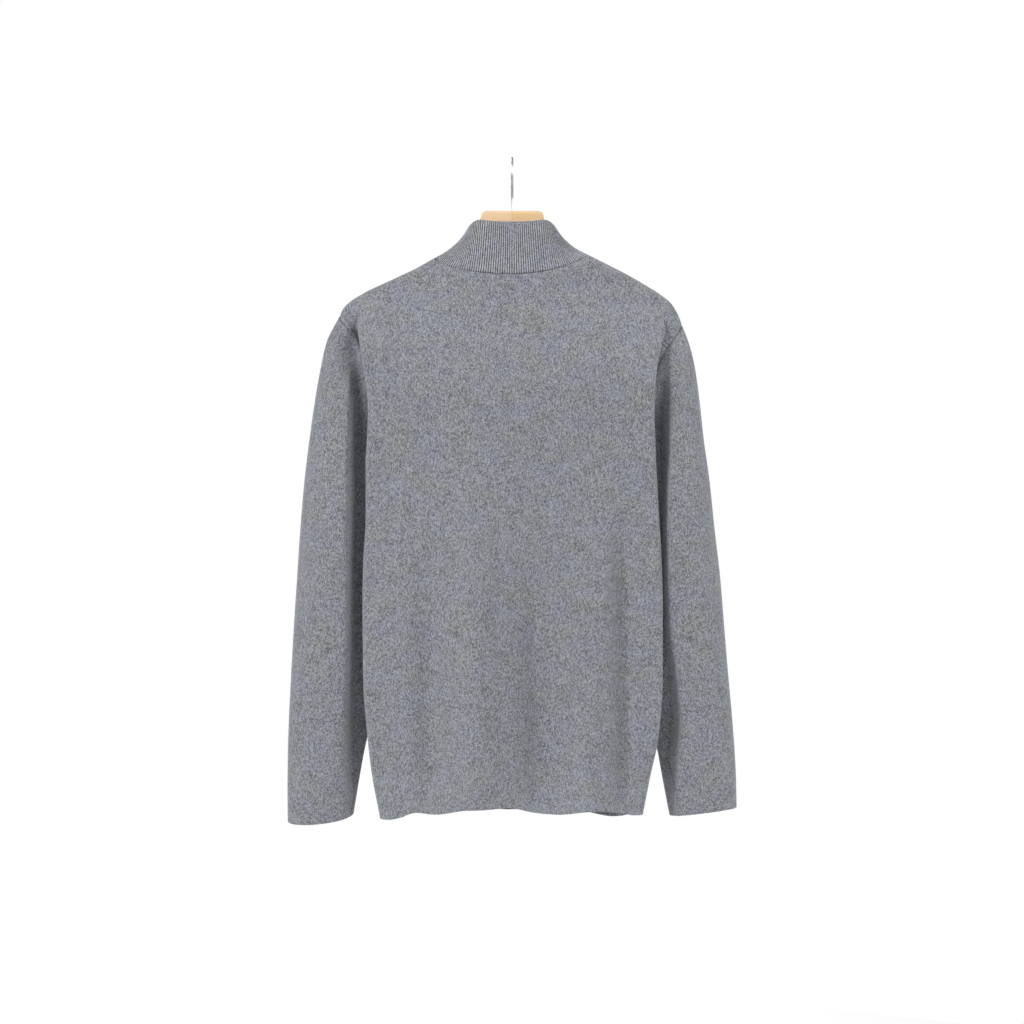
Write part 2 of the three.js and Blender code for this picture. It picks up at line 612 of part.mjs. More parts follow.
// A ring of a sleeve before it is fitted to the armhole. around runs from the outer line (0)
// to the underarm (ARMPIT_ROW).
function sleeveRing(side, face, around, ring) {
  const name = sideName(side)
  const table = SLEEVE[name]
  const at = clamp(ring, 0, LAST_RING)
  const outer = { x: read(table, 'ring', 'outerX', at), z: read(table, 'ring', 'outerZ', at) }
  const inner = { x: read(table, 'ring', 'innerX', at), z: read(table, 'ring', 'innerZ', at) }
  const angle = Math.PI * around / ARMPIT_ROW
  const along = (1 + Math.cos(angle)) / 2
  const x = lerp(inner.x, outer.x, along)
  const round = Math.max(0, Math.sin(angle))
  const full = read(table, 'ring', 'depth', at) * round ** SLEEVE_FULLNESS
  const floor = read(table, 'ring', 'floor', at) * round ** FLOOR_FULLNESS
  const inwards = ease((read(table, 'ring', 'wall', at) - x) / SLEEVE_WALL)
  const sunk = inwards * ease(at / WALL_START[name])
  const depth = lerp(full, Math.min(full, floor), sunk)
  const hanging = ease((at - LAST_RING + CUFF_DIP_RINGS) / CUFF_DIP_RINGS)
  const dip = CUFF_DIP[name] * hanging * round * Math.max(face, 0)
  return vector(side * x, face * depth, lerp(inner.z, outer.z, along) - dip)
}

function armholePoint(side, face, around) {
  return bodyPoint(side, face, SEAM_COLUMN, clamp(around, 0, ARMPIT_ROW))
}

function sleevePoint(side, around, ring) {
  const face = around < 0 ? -1 : 1
  const reach = Math.abs(around)
  const point = sleeveRing(side, face, reach, ring)
  const fitted = 1 - ease(ring / SLEEVE_SETTLED)
  if (fitted <= 0) return point
  const sunken = 1 - ease(ring / DEPTH_SETTLED)
  const correction = armholePoint(side, face, reach).sub(sleeveRing(side, face, reach, 0))
  return point.add(correction.multiply(vector(fitted, sunken, fitted)))
}

// ---------------------------------------------------------------- seams

// Normals of the body and of a sleeve along the armhole. Both are the direction in which the
// angle between the two pieces opens, each leaning to its own face where that angle is narrow.
// At the armpit it opens downwards.
function armholeNormals(side, face, around) {
  if (around === ARMPIT_ROW) {
    return {
      body: vector(side * SEAM_LEAN, 0, -1).normalize(),
      sleeve: vector(-side * SEAM_LEAN, 0, -1).normalize()
    }
  }
  const seam = armholePoint(side, face, around)
  const body = directions((c, r) => bodyPoint(side, face, c, r), SEAM_COLUMN - PROBE,
    around, side * face).normal
  const sleeve = directions((a, r) => sleevePoint(side, a, r), face * around, PROBE, -side).normal
  const alongBody = bodyPoint(side, face, SEAM_COLUMN - 0.5, around).sub(seam).normalize()
  const alongSleeve = sleevePoint(side, face * around, 0.3).sub(seam).normalize()
  const opening = alongBody.add(alongSleeve)
  const shared = body.clone().add(sleeve).add(opening)
  if (around === 0) shared.y = 0
  shared.normalize()
  const lean = around === 0 ? 0 : SEAM_LEAN * Math.max(0, opening.dot(shared))
  return {
    body: body.multiplyScalar(lean).add(shared).normalize(),
    sleeve: sleeve.multiplyScalar(lean).add(shared).normalize()
  }
}

// Neck seam from the centre back (or the zip) to the shoulder: points and shared normals.
function collarLean(side, rib) {
  return vector(side * read(RIM, 'rib', 'x', rib), read(RIM, 'rib', 'y', rib), read(RIM, 'rib', 'z', rib))
}

function neckVertex(side, face, column) {
  const surface = (c, r) => bodyPoint(side, face, c, r)
  const point = surface(column, 0)
  const { across, normal } = directions(surface, column, 0.1, side * face)
  const rib = face > 0
    ? RIBS_BACK * column / NECK_COLUMNS
    : RIBS_BACK + RIBS_FRONT * (1 - column / NECK_COLUMNS)
  const up = collarLean(side, rib).sub(point).normalize()
  const collarNormal = across.cross(up).normalize().multiplyScalar(side * -face)
  const shared = normal.add(collarNormal)
  if (column === NECK_COLUMNS) shared.y = 0
  return { point, normal: shared.normalize() }
}

const neckSeam = {}
for (const side of [1, -1]) {
  for (const face of [1, -1]) {
    const name = sideName(side) + faceName(face)
    neckSeam[name] = []
    for (let column = 0; column <= NECK_COLUMNS; column += 1) {
      neckSeam[name].push(neckVertex(side, face, column))
    }
  }
}

// ---------------------------------------------------------------- knitted pieces

const moved = (point, direction, distance) => point.clone().addScaledVector(direction, distance)

// One vertex pair of a body panel, drawn back from its seams.
function panelPlace(side, face, column, row) {
  const surface = (c, r) => bodyPoint(side, face, c, r)
  const point = surface(column, row)
  const seen = directions(surface, Math.min(column, SEAM_COLUMN - PROBE),
    row === 0 ? PROBE : Math.min(row, HEM_ROW - PROBE), side * face)
  let normal = seen.normal
  if (row === 0 && column <= NECK_COLUMNS) {
    normal = neckSeam[sideName(side) + faceName(face)][column].normal.clone()
  }
  if (row === 0 && column > NECK_COLUMNS) normal.y = 0
  if (column === SEAM_COLUMN && row <= ARMPIT_ROW) normal = armholeNormals(side, face, row).body
  if (column === SEAM_COLUMN && row > ARMPIT_ROW) normal.y = 0
  normal.normalize()
  const outer = point.clone()
  if (row === 0) outer.addScaledVector(seen.down, SEAM_GAP / 2)
  if (column === SEAM_COLUMN) outer.addScaledVector(seen.across, -SEAM_GAP / 2)
  return { outer, inner: moved(outer, normal, -CLOTH) }
}

function backPanel() {
  return wall(2 * SEAM_COLUMN, HEM_ROW, (index, row) => {
    const column = index - SEAM_COLUMN
    return panelPlace(column < 0 ? -1 : 1, 1, Math.abs(column), row)
  })
}

function frontPanel(side) {
  return wall(SEAM_COLUMN, HEM_ROW, (column, row) => panelPlace(side, -1, column, row))
}

function sleeve(side) {
  return wall(2 * ARMPIT_ROW, LAST_RING, (index, ring) => {
    const around = index <= ARMPIT_ROW ? index : index - 2 * ARMPIT_ROW
    const point = sleevePoint(side, around, ring)
    const surface = (a, r) => sleevePoint(side, a, r)
    const seen = directions(surface, around, clamp(ring, PROBE, LAST_RING - PROBE), -side)
    const face = around < 0 ? -1 : 1
    const normal = ring === 0 ? armholeNormals(side, face, Math.abs(around)).sleeve : seen.normal
    const outer = ring === 0 ? moved(point, seen.down, SEAM_GAP / 2) : point
    return { outer, inner: moved(outer, normal, -CLOTH) }
  }, true)
}

// ---------------------------------------------------------------- collar

// Point and normal at a share of a neck seam, measured along it from its first vertex.
function alongNeck(seam, share) {
  const lengths = seam.slice(1).map((vertex, i) => vertex.point.distanceTo(seam[i].point))
  const total = lengths.reduce((sum, length) => sum + length, 0)
  let left = share * total
  let i = 0
  while (i < lengths.length - 1 && left > lengths[i]) {
    left -= lengths[i]
    i += 1
  }
  const t = left / lengths[i]
  return {
    point: seam[i].point.clone().lerp(seam[i + 1].point, t),
    normal: seam[i].normal.clone().lerp(seam[i + 1].normal, t)
  }
}

function collarBase(side, rib) {
  if (rib <= RIBS_BACK) return alongNeck(neckSeam[sideName(side) + 'back'], rib / RIBS_BACK)
  const share = 1 - (rib - RIBS_BACK) / RIBS_FRONT
  return alongNeck(neckSeam[sideName(side) + 'front'], clamp(share, 0, 1))
}

// A point on the collar at a rib counted from the centre back; height runs from seam to rim.
function collarPoint(signedRib, height) {
  const side = signedRib < 0 ? -1 : 1
  const rib = Math.min(Math.abs(signedRib), RIBS_BACK + RIBS_FRONT)
  const base = collarBase(side, rib).point
  const rim = collarLean(side, rib)
  const middle = base.clone().lerp(rim, 0.5)
  const inwards = vector(-middle.x, COLLAR_CENTRE - middle.y, 0).normalize()
  const hollow = rib <= RIBS_BACK
    ? lerp(COLLAR_HOLLOW.back, COLLAR_HOLLOW.side, ease((rib - FLAT_RIBS) / (RIBS_BACK - FLAT_RIBS)))
    : lerp(COLLAR_HOLLOW.side, COLLAR_HOLLOW.front, ease((rib - RIBS_BACK) / RIBS_FRONT))
  const point = base.lerp(rim, height)
  return point.addScaledVector(inwards, hollow * COLLAR_BOW * height * (1 - height) ** 2)
}

function collar() {
  const ribs = RIBS_BACK + RIBS_FRONT
  const columns = 4 * ribs
  const innerStep = 2 * RIBS_PER_INNER_STEP
  const vertices = []
  const outerIndex = []
  const innerIndex = []
  for (let column = 0; column <= columns; column += 1) {
    const signedRib = column / 2 - ribs
    outerIndex.push([])
    innerIndex.push([])
    for (let row = 0; row <= COLLAR_ROWS; row += 1) {
      const height = row / COLLAR_ROWS
      const inside = clamp(height, PROBE, 1 - PROBE)
      const seen = directions(collarPoint, clamp(signedRib, 0.5 - ribs, ribs - 0.5), inside, -1)
      const seam = collarBase(Math.sign(signedRib) || 1, Math.abs(signedRib))
      const outwards = row === 0 ? seam.normal : seen.normal
      const point = collarPoint(signedRib, height)
      if (row === 0) point.addScaledVector(seen.down, SEAM_GAP * 0.75)
      const relief = column % 2 === 1 ? RIB_RELIEF : 0
      outerIndex[column].push(vertices.length)
      vertices.push(moved(point, outwards, row === 0 ? relief / 2 : relief))
      if (column % innerStep === 0) {
        innerIndex[column].push(vertices.length)
        vertices.push(moved(point, outwards, -CLOTH))
      }
    }
  }
  const faces = []
  const quad = (a, b, c, d) => faces.push([a, b, c], [a, c, d])
  for (let column = 0; column < columns; column += 1) {
    for (let row = 0; row < COLLAR_ROWS; row += 1) {
      quad(outerIndex[column][row], outerIndex[column + 1][row],
        outerIndex[column + 1][row + 1], outerIndex[column][row + 1])
    }
  }
  for (let column = 0; column < columns; column += innerStep) {
    const next = column + innerStep
    for (let row = 0; row < COLLAR_ROWS; row += 1) {
      quad(innerIndex[column][row + 1], innerIndex[next][row + 1],
        innerIndex[next][row], innerIndex[column][row])
    }
    const half = column + innerStep / 2
    for (let edge = column; edge < next; edge += 1) {
      const anchor = edge < half ? column : next
      faces.push([innerIndex[anchor][0], outerIndex[edge + 1][0], outerIndex[edge][0]])
      faces.push([innerIndex[anchor][COLLAR_ROWS], outerIndex[edge][COLLAR_ROWS],
        outerIndex[edge + 1][COLLAR_ROWS]])
    }
    faces.push([innerIndex[column][0], innerIndex[next][0], outerIndex[half][0]])
    faces.push([innerIndex[column][COLLAR_ROWS], outerIndex[half][COLLAR_ROWS],
      innerIndex[next][COLLAR_ROWS]])
  }
  for (let row = 0; row < COLLAR_ROWS; row += 1) {
    quad(outerIndex[0][row], outerIndex[0][row + 1], innerIndex[0][row + 1], innerIndex[0][row])
    quad(outerIndex[columns][row + 1], outerIndex[columns][row],
      innerIndex[columns][row], innerIndex[columns][row + 1])
  }
  return solid(vertices, faces)
}

// ---------------------------------------------------------------- zip

const ZIP_TOP = HEM_ROW + COLLAR_ROWS

// A point of the front beside the zip. Stations count up from the hem, and those past the
// neck seam climb the collar.
function zipSurface(side, distance, station) {
  const ribs = RIBS_BACK + RIBS_FRONT
  const onCollar = station > HEM_ROW
  const height = (station - HEM_ROW) / COLLAR_ROWS
  const edge = onCollar ? collarPoint(side * ribs, height) : bodyPoint(side, -1, 0, HEM_ROW - station)
  const outer = onCollar
    ? collarPoint(side * (ribs - TAPE_RIBS), height)
    : bodyPoint(side, -1, 1, HEM_ROW - station)
  return edge.lerp(outer, (distance - ZIP_EDGE) / (TAPE_EDGE - ZIP_EDGE))
}

// The line of the zip in the plane of symmetry, with its outward normals.
function zipLine() {
  const stations = [...Array(ZIP_TOP + 1).keys()].filter(station => {
    return station <= HEM_ROW - ROLL_ROWS || station >= HEM_ROW
  })
  const points = stations.map(station => {
    const left = zipSurface(1, ZIP_EDGE, station)
    const right = zipSurface(-1, ZIP_EDGE, station)
    return left.add(right).multiplyScalar(0.5).setX(0)
  })
  let length = 0
  return points.map((point, i) => {
    if (i > 0) length += point.distanceTo(points[i - 1])
    const low = points[Math.max(i - 1, 0)]
    const high = points[Math.min(i + 1, points.length - 1)]
    const rise = high.clone().sub(low)
    return { station: stations[i], point, normal: vector(0, -rise.z, rise.y).normalize(), length }
  })
}

const line = zipLine()
const ZIP_LENGTH = line[line.length - 1].length

function alongZip(length) {
  let i = 0
  while (i < line.length - 2 && length > line[i + 1].length) i += 1
  const t = (length - line[i].length) / (line[i + 1].length - line[i].length)
  return {
    point: line[i].point.clone().lerp(line[i + 1].point, t),
    normal: line[i].normal.clone().lerp(line[i + 1].normal, t).normalize()
  }
}

function zipTape(side) {
  const across = [SEAM_GAP / 2, ZIP_EDGE, TAPE_EDGE]
  return wall(across.length - 1, line.length - 1, (column, index) => {
    const { station, point: centre, normal } = line[index]
    const point = column === 0
      ? centre.clone().setX(side * across[0])
      : zipSurface(side, across[column], station)
    const outer = moved(point, normal, -CLOTH - TAPE_GAP)
    return { outer, inner: moved(outer, normal, -TAPE_THICKNESS) }
  })
}

// A straight-sided bar along the zip, between two lengths measured up from the hem.
function zipBar(from, to, halfWidth, proud) {
  const between = line.map(row => row.length).filter(length => length > from + 1 && length < to - 1)
  return bar([from, ...between, to].map(length => {
    const { point, normal } = alongZip(length)
    const front = moved(point, normal, proud)
    const behind = moved(point, normal, SEAM_GAP - CLOTH - TAPE_GAP)
    return [
      vector(-halfWidth, front.y, front.z),
      vector(halfWidth, front.y, front.z),
      vector(halfWidth, behind.y, behind.z),
      vector(-halfWidth, behind.y, behind.z)
    ]
  }))
}

const SLIDER_BOTTOM = ZIP_LENGTH - COLLAR_ABOVE_SLIDER - SLIDER.length
const chainStart = BOX.start + BOX.height + SEAM_GAP
const chainEnd = SLIDER_BOTTOM - SEAM_GAP

// ---------------------------------------------------------------- booleans

function toManifold(geometry) {
  const plain = geometry.clone()
  plain.deleteAttribute('normal')
  plain.deleteAttribute('uv')
  const merged = mergeVertices(plain, 1e-4)
  return new wasm.Manifold(new wasm.Mesh({
    numProp: 3,
    vertProperties: new Float32Array(merged.attributes.position.array),
    triVerts: new Uint32Array(merged.index.array)
  }))
}

function toGeometry(manifold) {
  const mesh = manifold.getMesh()
  const geometry = new THREE.BufferGeometry()
  geometry.setAttribute('position', new THREE.BufferAttribute(mesh.vertProperties, 3))
  geometry.setIndex(new THREE.BufferAttribute(mesh.triVerts, 1))
  geometry.computeVertexNormals()
  return geometry
}

// ---------------------------------------------------------------- slider and pull tab

// Frame of the slider: x across, y out of the cloth, z down the zip from the slider's top.
function sliderFrame() {
  const bottom = alongZip(SLIDER_BOTTOM)
  const top = alongZip(SLIDER_BOTTOM + SLIDER.length)
  const down = bottom.point.clone().sub(top.point).normalize()
  const outwards = vector(1, 0, 0).cross(down).negate()
  return new THREE.Matrix4().makeBasis(vector(1, 0, 0), outwards, down).setPosition(top.point)
}

function sliderBody() {
  const behind = SEAM_GAP - CLOTH - TAPE_GAP
  const { stemHalfWidth: stem, plateHalfWidth: plate, plateBack, plateFront } = SLIDER
  const section = new THREE.Shape()
  section.moveTo(-stem, behind)
  section.lineTo(stem, behind)
  section.lineTo(stem, plateBack)
  section.lineTo(plate, plateBack)
  section.lineTo(plate, plateFront)
  section.lineTo(-plate, plateFront)
  section.lineTo(-plate, plateBack)
  section.lineTo(-stem, plateBack)
  const body = new THREE.ExtrudeGeometry(section, { depth: SLIDER.length, bevelEnabled: false })
  const earRise = SLIDER.earTop - plateFront
  const ears = [1, -1].map(side => {
    const ear = new THREE.BoxGeometry(SLIDER.earWidth, earRise + SLIDER.earRoot, SLIDER.earLength)
    const offset = SLIDER.earInside + SLIDER.earWidth / 2
    ear.translate(side * offset, plateFront + (earRise - SLIDER.earRoot) / 2, SLIDER.pivotDown)
    return toManifold(ear)
  })
  const joined = toManifold(body).add(ears[0]).add(ears[1])
  return toGeometry(joined).applyMatrix4(sliderFrame())
}

const pivot = vector(0, SLIDER.plateFront + SEAM_GAP + PULL.barrelRadius, SLIDER.pivotDown)
  .applyMatrix4(sliderFrame())

function pullTab() {
  const half = PULL.halfWidth
  const tip = -PULL.length
  const outline = new THREE.Shape()
  outline.moveTo(-PULL.neckHalfWidth, 0)
  outline.lineTo(-PULL.neckHalfWidth, -PULL.neckLength)
  outline.lineTo(-half, -PULL.neckLength - PULL.shoulder)
  outline.lineTo(-half, tip + half)
  outline.absarc(0, tip + half, half, Math.PI, 2 * Math.PI, false)
  outline.lineTo(half, -PULL.neckLength - PULL.shoulder)
  outline.lineTo(PULL.neckHalfWidth, -PULL.neckLength)
  outline.lineTo(PULL.neckHalfWidth, 0)
  const plate = new THREE.ExtrudeGeometry(outline, {
    depth: PULL.thickness - 2 * PULL.bevel,
    bevelThickness: PULL.bevel,
    bevelSize: PULL.bevel,
    bevelOffset: -PULL.bevel,
    bevelSegments: 1,
    curveSegments: 8
  })
  plate.translate(0, 0, PULL.bevel - PULL.thickness / 2)
  plate.rotateX(Math.PI / 2)
  const barrel = new THREE.CylinderGeometry(PULL.barrelRadius, PULL.barrelRadius,
    2 * (SLIDER.earInside - SEAM_GAP), 12)
  barrel.rotateZ(Math.PI / 2)
  return toGeometry(toManifold(plate).add(toManifold(barrel)))
}

// ---------------------------------------------------------------- hanger and hook

const HANGER_MIDDLE_END = HANGER_MIDDLE[HANGER_MIDDLE.length - 1].x

// Height of the hanger's top: a stump inside the collar, then arms under the shoulder seams.
function hangerTop(distance) {
  if (distance < HANGER_MIDDLE_END) return read(HANGER_MIDDLE, 'x', 'top', distance)
  const seam = Math.min(topEdgeHeight(1, 1, distance), topEdgeHeight(-1, 1, distance))
  return seam - HANGER.seat
}

function hangerHalfThickness(distance) {
  return HANGER.halfThickness * (1 - HANGER.thinning * ease((distance - HANGER.thinFrom) / HANGER.thinOver))
}

function hangerSection(side, distance, top, bottom, halfThickness) {
  const corners = []
  const radius = Math.min(halfThickness, (top - bottom) / 2)
  for (let step = 0; step <= HANGER.roundSteps; step += 1) {
    const angle = Math.PI * step / HANGER.roundSteps
    const y = halfThickness * Math.cos(angle)
    corners.push(vector(side * distance, y, top - radius + radius * Math.sin(angle)))
  }
  for (let step = 0; step <= HANGER.roundSteps; step += 1) {
    const angle = Math.PI * step / HANGER.roundSteps
    const y = -halfThickness * Math.cos(angle)
    corners.push(vector(side * distance, y, bottom + radius - radius * Math.sin(angle)))
  }
  return corners
}

function hangerHalf(side) {
  const arm = SHOULDER.map(row => row.x).filter(x => x > HANGER_MIDDLE_END && x < HANGER_END)
  const stations = [...HANGER_MIDDLE.map(row => row.x), ...arm]
  const sections = stations.map(distance => {
    const x = Math.max(distance, SEAM_GAP / 2)
    const top = hangerTop(distance)
    const bottom = read(HANGER_BOTTOM, 'x', 'z', distance)
    return hangerSection(side, x, top, bottom, hangerHalfThickness(distance))
  })
  const last = stations[stations.length - 1]
  const tipTop = hangerTop(last)
  const tipBottom = read(HANGER_BOTTOM, 'x', 'z', last)
  const middle = (tipTop + tipBottom) / 2
  for (const { reach, share } of HANGER_TIP) {
    const half = share * (tipTop - tipBottom) / 2
    const lowered = middle - HANGER.tipSlope * reach
    sections.push(hangerSection(side, last + reach, lowered + half, lowered - half,
      hangerHalfThickness(last) * share))
  }
  const bore = new THREE.CylinderGeometry(HOOK.boreRadius, HOOK.boreRadius, HOOK.boreDepth, 12)
  bore.rotateX(Math.PI / 2)
  bore.translate(0, 0, HANGER_MIDDLE[0].top + SEAM_GAP - HOOK.boreDepth / 2)
  return toGeometry(toManifold(bar(sections)).subtract(toManifold(bore)))
}

// Line of the hook in the plane x = 0: a straight stem, a swan neck and the crown's arc.
function hookLine() {
  const centre = { y: 0, z: -HOOK.innerRadius }
  const radius = HOOK.innerRadius + HOOK.wireRadius
  const foot = HANGER_MIDDLE[0].top - HOOK.boreDepth + 2 * SEAM_GAP
  const points = [
    vector(0, 0, foot),
    vector(0, 0, HOOK.stemTop - HOOK.wireRadius),
    vector(0, 0, HOOK.stemTop)
  ]
  const start = vector(0, radius * Math.cos(HOOK.arcStart), centre.z + radius * Math.sin(HOOK.arcStart))
  const heading = vector(0, -Math.sin(HOOK.arcStart), Math.cos(HOOK.arcStart))
  const neck = new THREE.CubicBezierCurve3(
    points[2],
    moved(points[2], vector(0, 0, 1), HOOK.neckReach),
    moved(start, heading, -HOOK.neckReach),
    start
  )
  for (let step = 1; step < HOOK.neckSteps; step += 1) points.push(neck.getPoint(step / HOOK.neckSteps))
  for (let step = 0; step <= HOOK.arcSteps; step += 1) {
    const angle = lerp(HOOK.arcStart, HOOK.arcEnd, step / HOOK.arcSteps)
    points.push(vector(0, radius * Math.cos(angle), centre.z + radius * Math.sin(angle)))
  }
  return points
}

function hook() {
  const points = hookLine()
  const sections = points.map((point, i) => {
    const before = points[Math.max(i - 1, 0)]
    const after = points[Math.min(i + 1, points.length - 1)]
    const along = after.clone().sub(before).normalize()
    const sideways = vector(1, 0, 0)
    const across = sideways.clone().cross(along).normalize()
    const corners = []
    for (let corner = 0; corner < HOOK.sides; corner += 1) {
      const angle = 2 * Math.PI * corner / HOOK.sides
      corners.push(moved(moved(point, sideways, HOOK.wireRadius * Math.cos(angle)),
        across, HOOK.wireRadius * Math.sin(angle)))
    }
    return corners
  })
  return bar(sections)
}

// ---------------------------------------------------------------- assembly

function finish(colour, roughness, metalness) {
  return new THREE.MeshStandardMaterial({ color: colour, roughness, metalness })
}

const knit = finish(0x8a8d94, 0.95, 0)
const ribKnit = finish(0x85878f, 0.95, 0)
const tapeCloth = finish(0x6c6f76, 0.9, 0)
const zipMetal = finish(0x8c8e92, 0.35, 0.9)
const lightWood = finish(0xefcfa8, 0.5, 0)
const warmWood = finish(0xe7c699, 0.5, 0)
const steel = finish(0xc4c6c8, 0.25, 1)

const group = new THREE.Group()

function add(name, geometry, material) {
  const mesh = new THREE.Mesh(geometry, material)
  mesh.name = name
  group.add(mesh)
  return mesh
}

add('back', backPanel(), knit)
add('front_left', frontPanel(1), knit)
add('front_right', frontPanel(-1), knit)
add('sleeve_left', sleeve(1), knit)
add('sleeve_right', sleeve(-1), knit)
add('collar', collar(), ribKnit)
add('zip_tape_left', zipTape(1), tapeCloth)
add('zip_tape_right', zipTape(-1), tapeCloth)
add('zip_chain', zipBar(chainStart, chainEnd, CHAIN.halfWidth, CHAIN.proud), zipMetal)
add('zip_box', zipBar(BOX.start, BOX.start + BOX.height, BOX.halfWidth, BOX.proud), zipMetal)
add('zip_slider', sliderBody(), zipMetal)
add('zip_pull', pullTab(), zipMetal).position.copy(pivot)
add('hanger_left', hangerHalf(1), lightWood)
add('hanger_right', hangerHalf(-1), warmWood)
add('hook', hook(), steel)

export default group
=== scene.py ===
"""Zip-up cardigan on a wooden hanger: the knit, its seams and zip, the hanger and a stage."""

import bisect
import math

import bmesh
import bpy
import numpy as np
from bpy.props import FloatProperty, FloatVectorProperty, IntProperty, PointerProperty
from mathutils import Matrix, Vector


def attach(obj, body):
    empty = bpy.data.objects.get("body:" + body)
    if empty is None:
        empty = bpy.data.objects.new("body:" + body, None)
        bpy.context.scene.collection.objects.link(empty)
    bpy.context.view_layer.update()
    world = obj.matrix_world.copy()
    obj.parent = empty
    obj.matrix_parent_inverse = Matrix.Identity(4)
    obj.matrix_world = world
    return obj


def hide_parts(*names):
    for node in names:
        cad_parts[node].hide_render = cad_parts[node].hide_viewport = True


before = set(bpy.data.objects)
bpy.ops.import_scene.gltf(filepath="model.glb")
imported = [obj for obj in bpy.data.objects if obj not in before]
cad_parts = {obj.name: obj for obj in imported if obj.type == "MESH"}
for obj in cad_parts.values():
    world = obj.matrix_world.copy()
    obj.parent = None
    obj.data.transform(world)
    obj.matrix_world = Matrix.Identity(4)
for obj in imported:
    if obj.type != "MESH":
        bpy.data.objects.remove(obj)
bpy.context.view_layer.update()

bl_info = {
    "name": "Zip-up cardigan",
    "version": (1, 0, 0),
    "blender": (4, 5, 0),
    "location": "View3D > Sidebar > Cardigan",
    "description": "Builds a knitted zip-up cardigan on a hanger around its packed frame",
    "category": "Add Mesh",
}

MM = 0.001


def painted(red, green, blue):
    """Linear colour of a display colour given in steps of 255."""
    def linear(step):
        value = step / 255
        return value / 12.92 if value <= 0.04045 else ((value + 0.055) / 1.055) ** 2.4
    return (linear(red), linear(green), linear(blue))


def lerp(start, end, share):
    return start + (end - start) * share


def clamp(value, low, high):
    return min(max(value, low), high)


def ease(share):
    t = clamp(share, 0, 1)
    return t * t * (3 - 2 * t)


class Table:
    """Rows with named columns, read along a smooth curve that never overshoots its rows."""

    def __init__(self, names, rows):
        self.direction = 1 if rows[-1][0] > rows[0][0] else -1
        self.keys = [row[0] * self.direction for row in rows]
        self.values = {name: [row[i] for row in rows] for i, name in enumerate(names.split())}
        self.slopes = {name: self.tangents(values) for name, values in self.values.items()}

    def tangents(self, values):
        steps = range(len(values) - 1)
        slopes = [(values[k + 1] - values[k]) / (self.keys[k + 1] - self.keys[k]) for k in steps]
        between = [2 * a * b / (a + b) if a * b > 0 else 0 for a, b in zip(slopes, slopes[1:])]
        return [slopes[0], *between, slopes[-1]]

    def read(self, name, at):
        key = at * self.direction
        row = clamp(bisect.bisect_right(self.keys, key) - 1, 0, len(self.keys) - 2)
        width = self.keys[row + 1] - self.keys[row]
        t = clamp((key - self.keys[row]) / width, 0, 1)
        values, slopes = self.values[name], self.slopes[name]
        rise = values[row + 1] - values[row]
        leave, arrive = slopes[row] * width, slopes[row + 1] * width
        return (values[row] + t * leave + t * t * (3 * rise - 2 * leave - arrive)
                + t ** 3 * (leave + arrive - 2 * rise))


# ---------------------------------------------------------------- sizes, in millimetres

# The cut of the garment, as its solids have it. +X is the wearer's left and +Y the back.
CLOTH = 2.0
SEAM_GAP = 0.3
NECK_HALF_WIDTH = 96
NECK = {
    "back": {"depth": 26, "low": -144.8, "left": 1.2, "right": 1.7},
    "front": {"depth": 84, "low": -197, "left": 1, "right": 1},
}
NECK_SPREAD = {"back": 0.1, "front": 0.4}
NECK_SOFTENING = (120, 50)
SHOULDER_FLAT = 178
ARMPIT = {"x": 150, "z": -375}
SHOULDER_ROLL = 8.8
FLARE = {"middle": 160, "left": 75, "right": 120}
TOP_WIDTH_HEIGHT = -162
FOLD_START = 8
FOLD_FALL = 40
FOLD_LEAD = 14
FOLD_RADIUS = 6
FOLD_PULL = 0.35
DIVE = {"left": 26, "right": 0, "width": 8, "top": -192, "fall": 24}
FOLD_TURN = 0.2
ZIP_EDGE = 4.5
TAPE_EDGE = 15
TAPE_RIBS = 3.2
TAPE_THICKNESS = 1.0
TAPE_GAP = 0.5
HEM_HEIGHT = {"back": -809.5, "front": -819.5}
RIBS_BACK = 36
RIBS_FRONT = 48
RIBS = RIBS_BACK + RIBS_FRONT
COLLAR_HOLLOW = {"back": 1.5, "side": 6.5, "front": 2.5}
COLLAR_BOW = 27 / 8                # the hollow is deepest a third of the way up
COLLAR_CENTRE = -25
FLAT_RIBS = 12

# Rows and columns of the cut, at which the tables below are written.
NECK_COLUMNS = 7
FLAT_COLUMNS = 12
FOLD_STOPS = [0, 0.15, 0.27, 0.38, 0.5, 0.75, 1]
LINE_END = 0.15
BEND_END = 0.5
SEAM_COLUMN = FLAT_COLUMNS + len(FOLD_STOPS) - 1
ROLL_ROWS = 3
ARMHOLE_ROWS = 8
SIDE_ROWS = 10
ARMPIT_ROW = ROLL_ROWS + ARMHOLE_ROWS
HEM_ROW = ARMPIT_ROW + SIDE_ROWS
LAST_RING = 13
COLLAR_ROWS = 3
SLEEVE_SETTLED = 5
DEPTH_SETTLED = 2
SLEEVE_WALL = 13
SLEEVE_FULLNESS = 0.65
WALL_START = {"left": 0.3, "right": 2.5}
CUFF_DIP = {"left": 6, "right": 0}

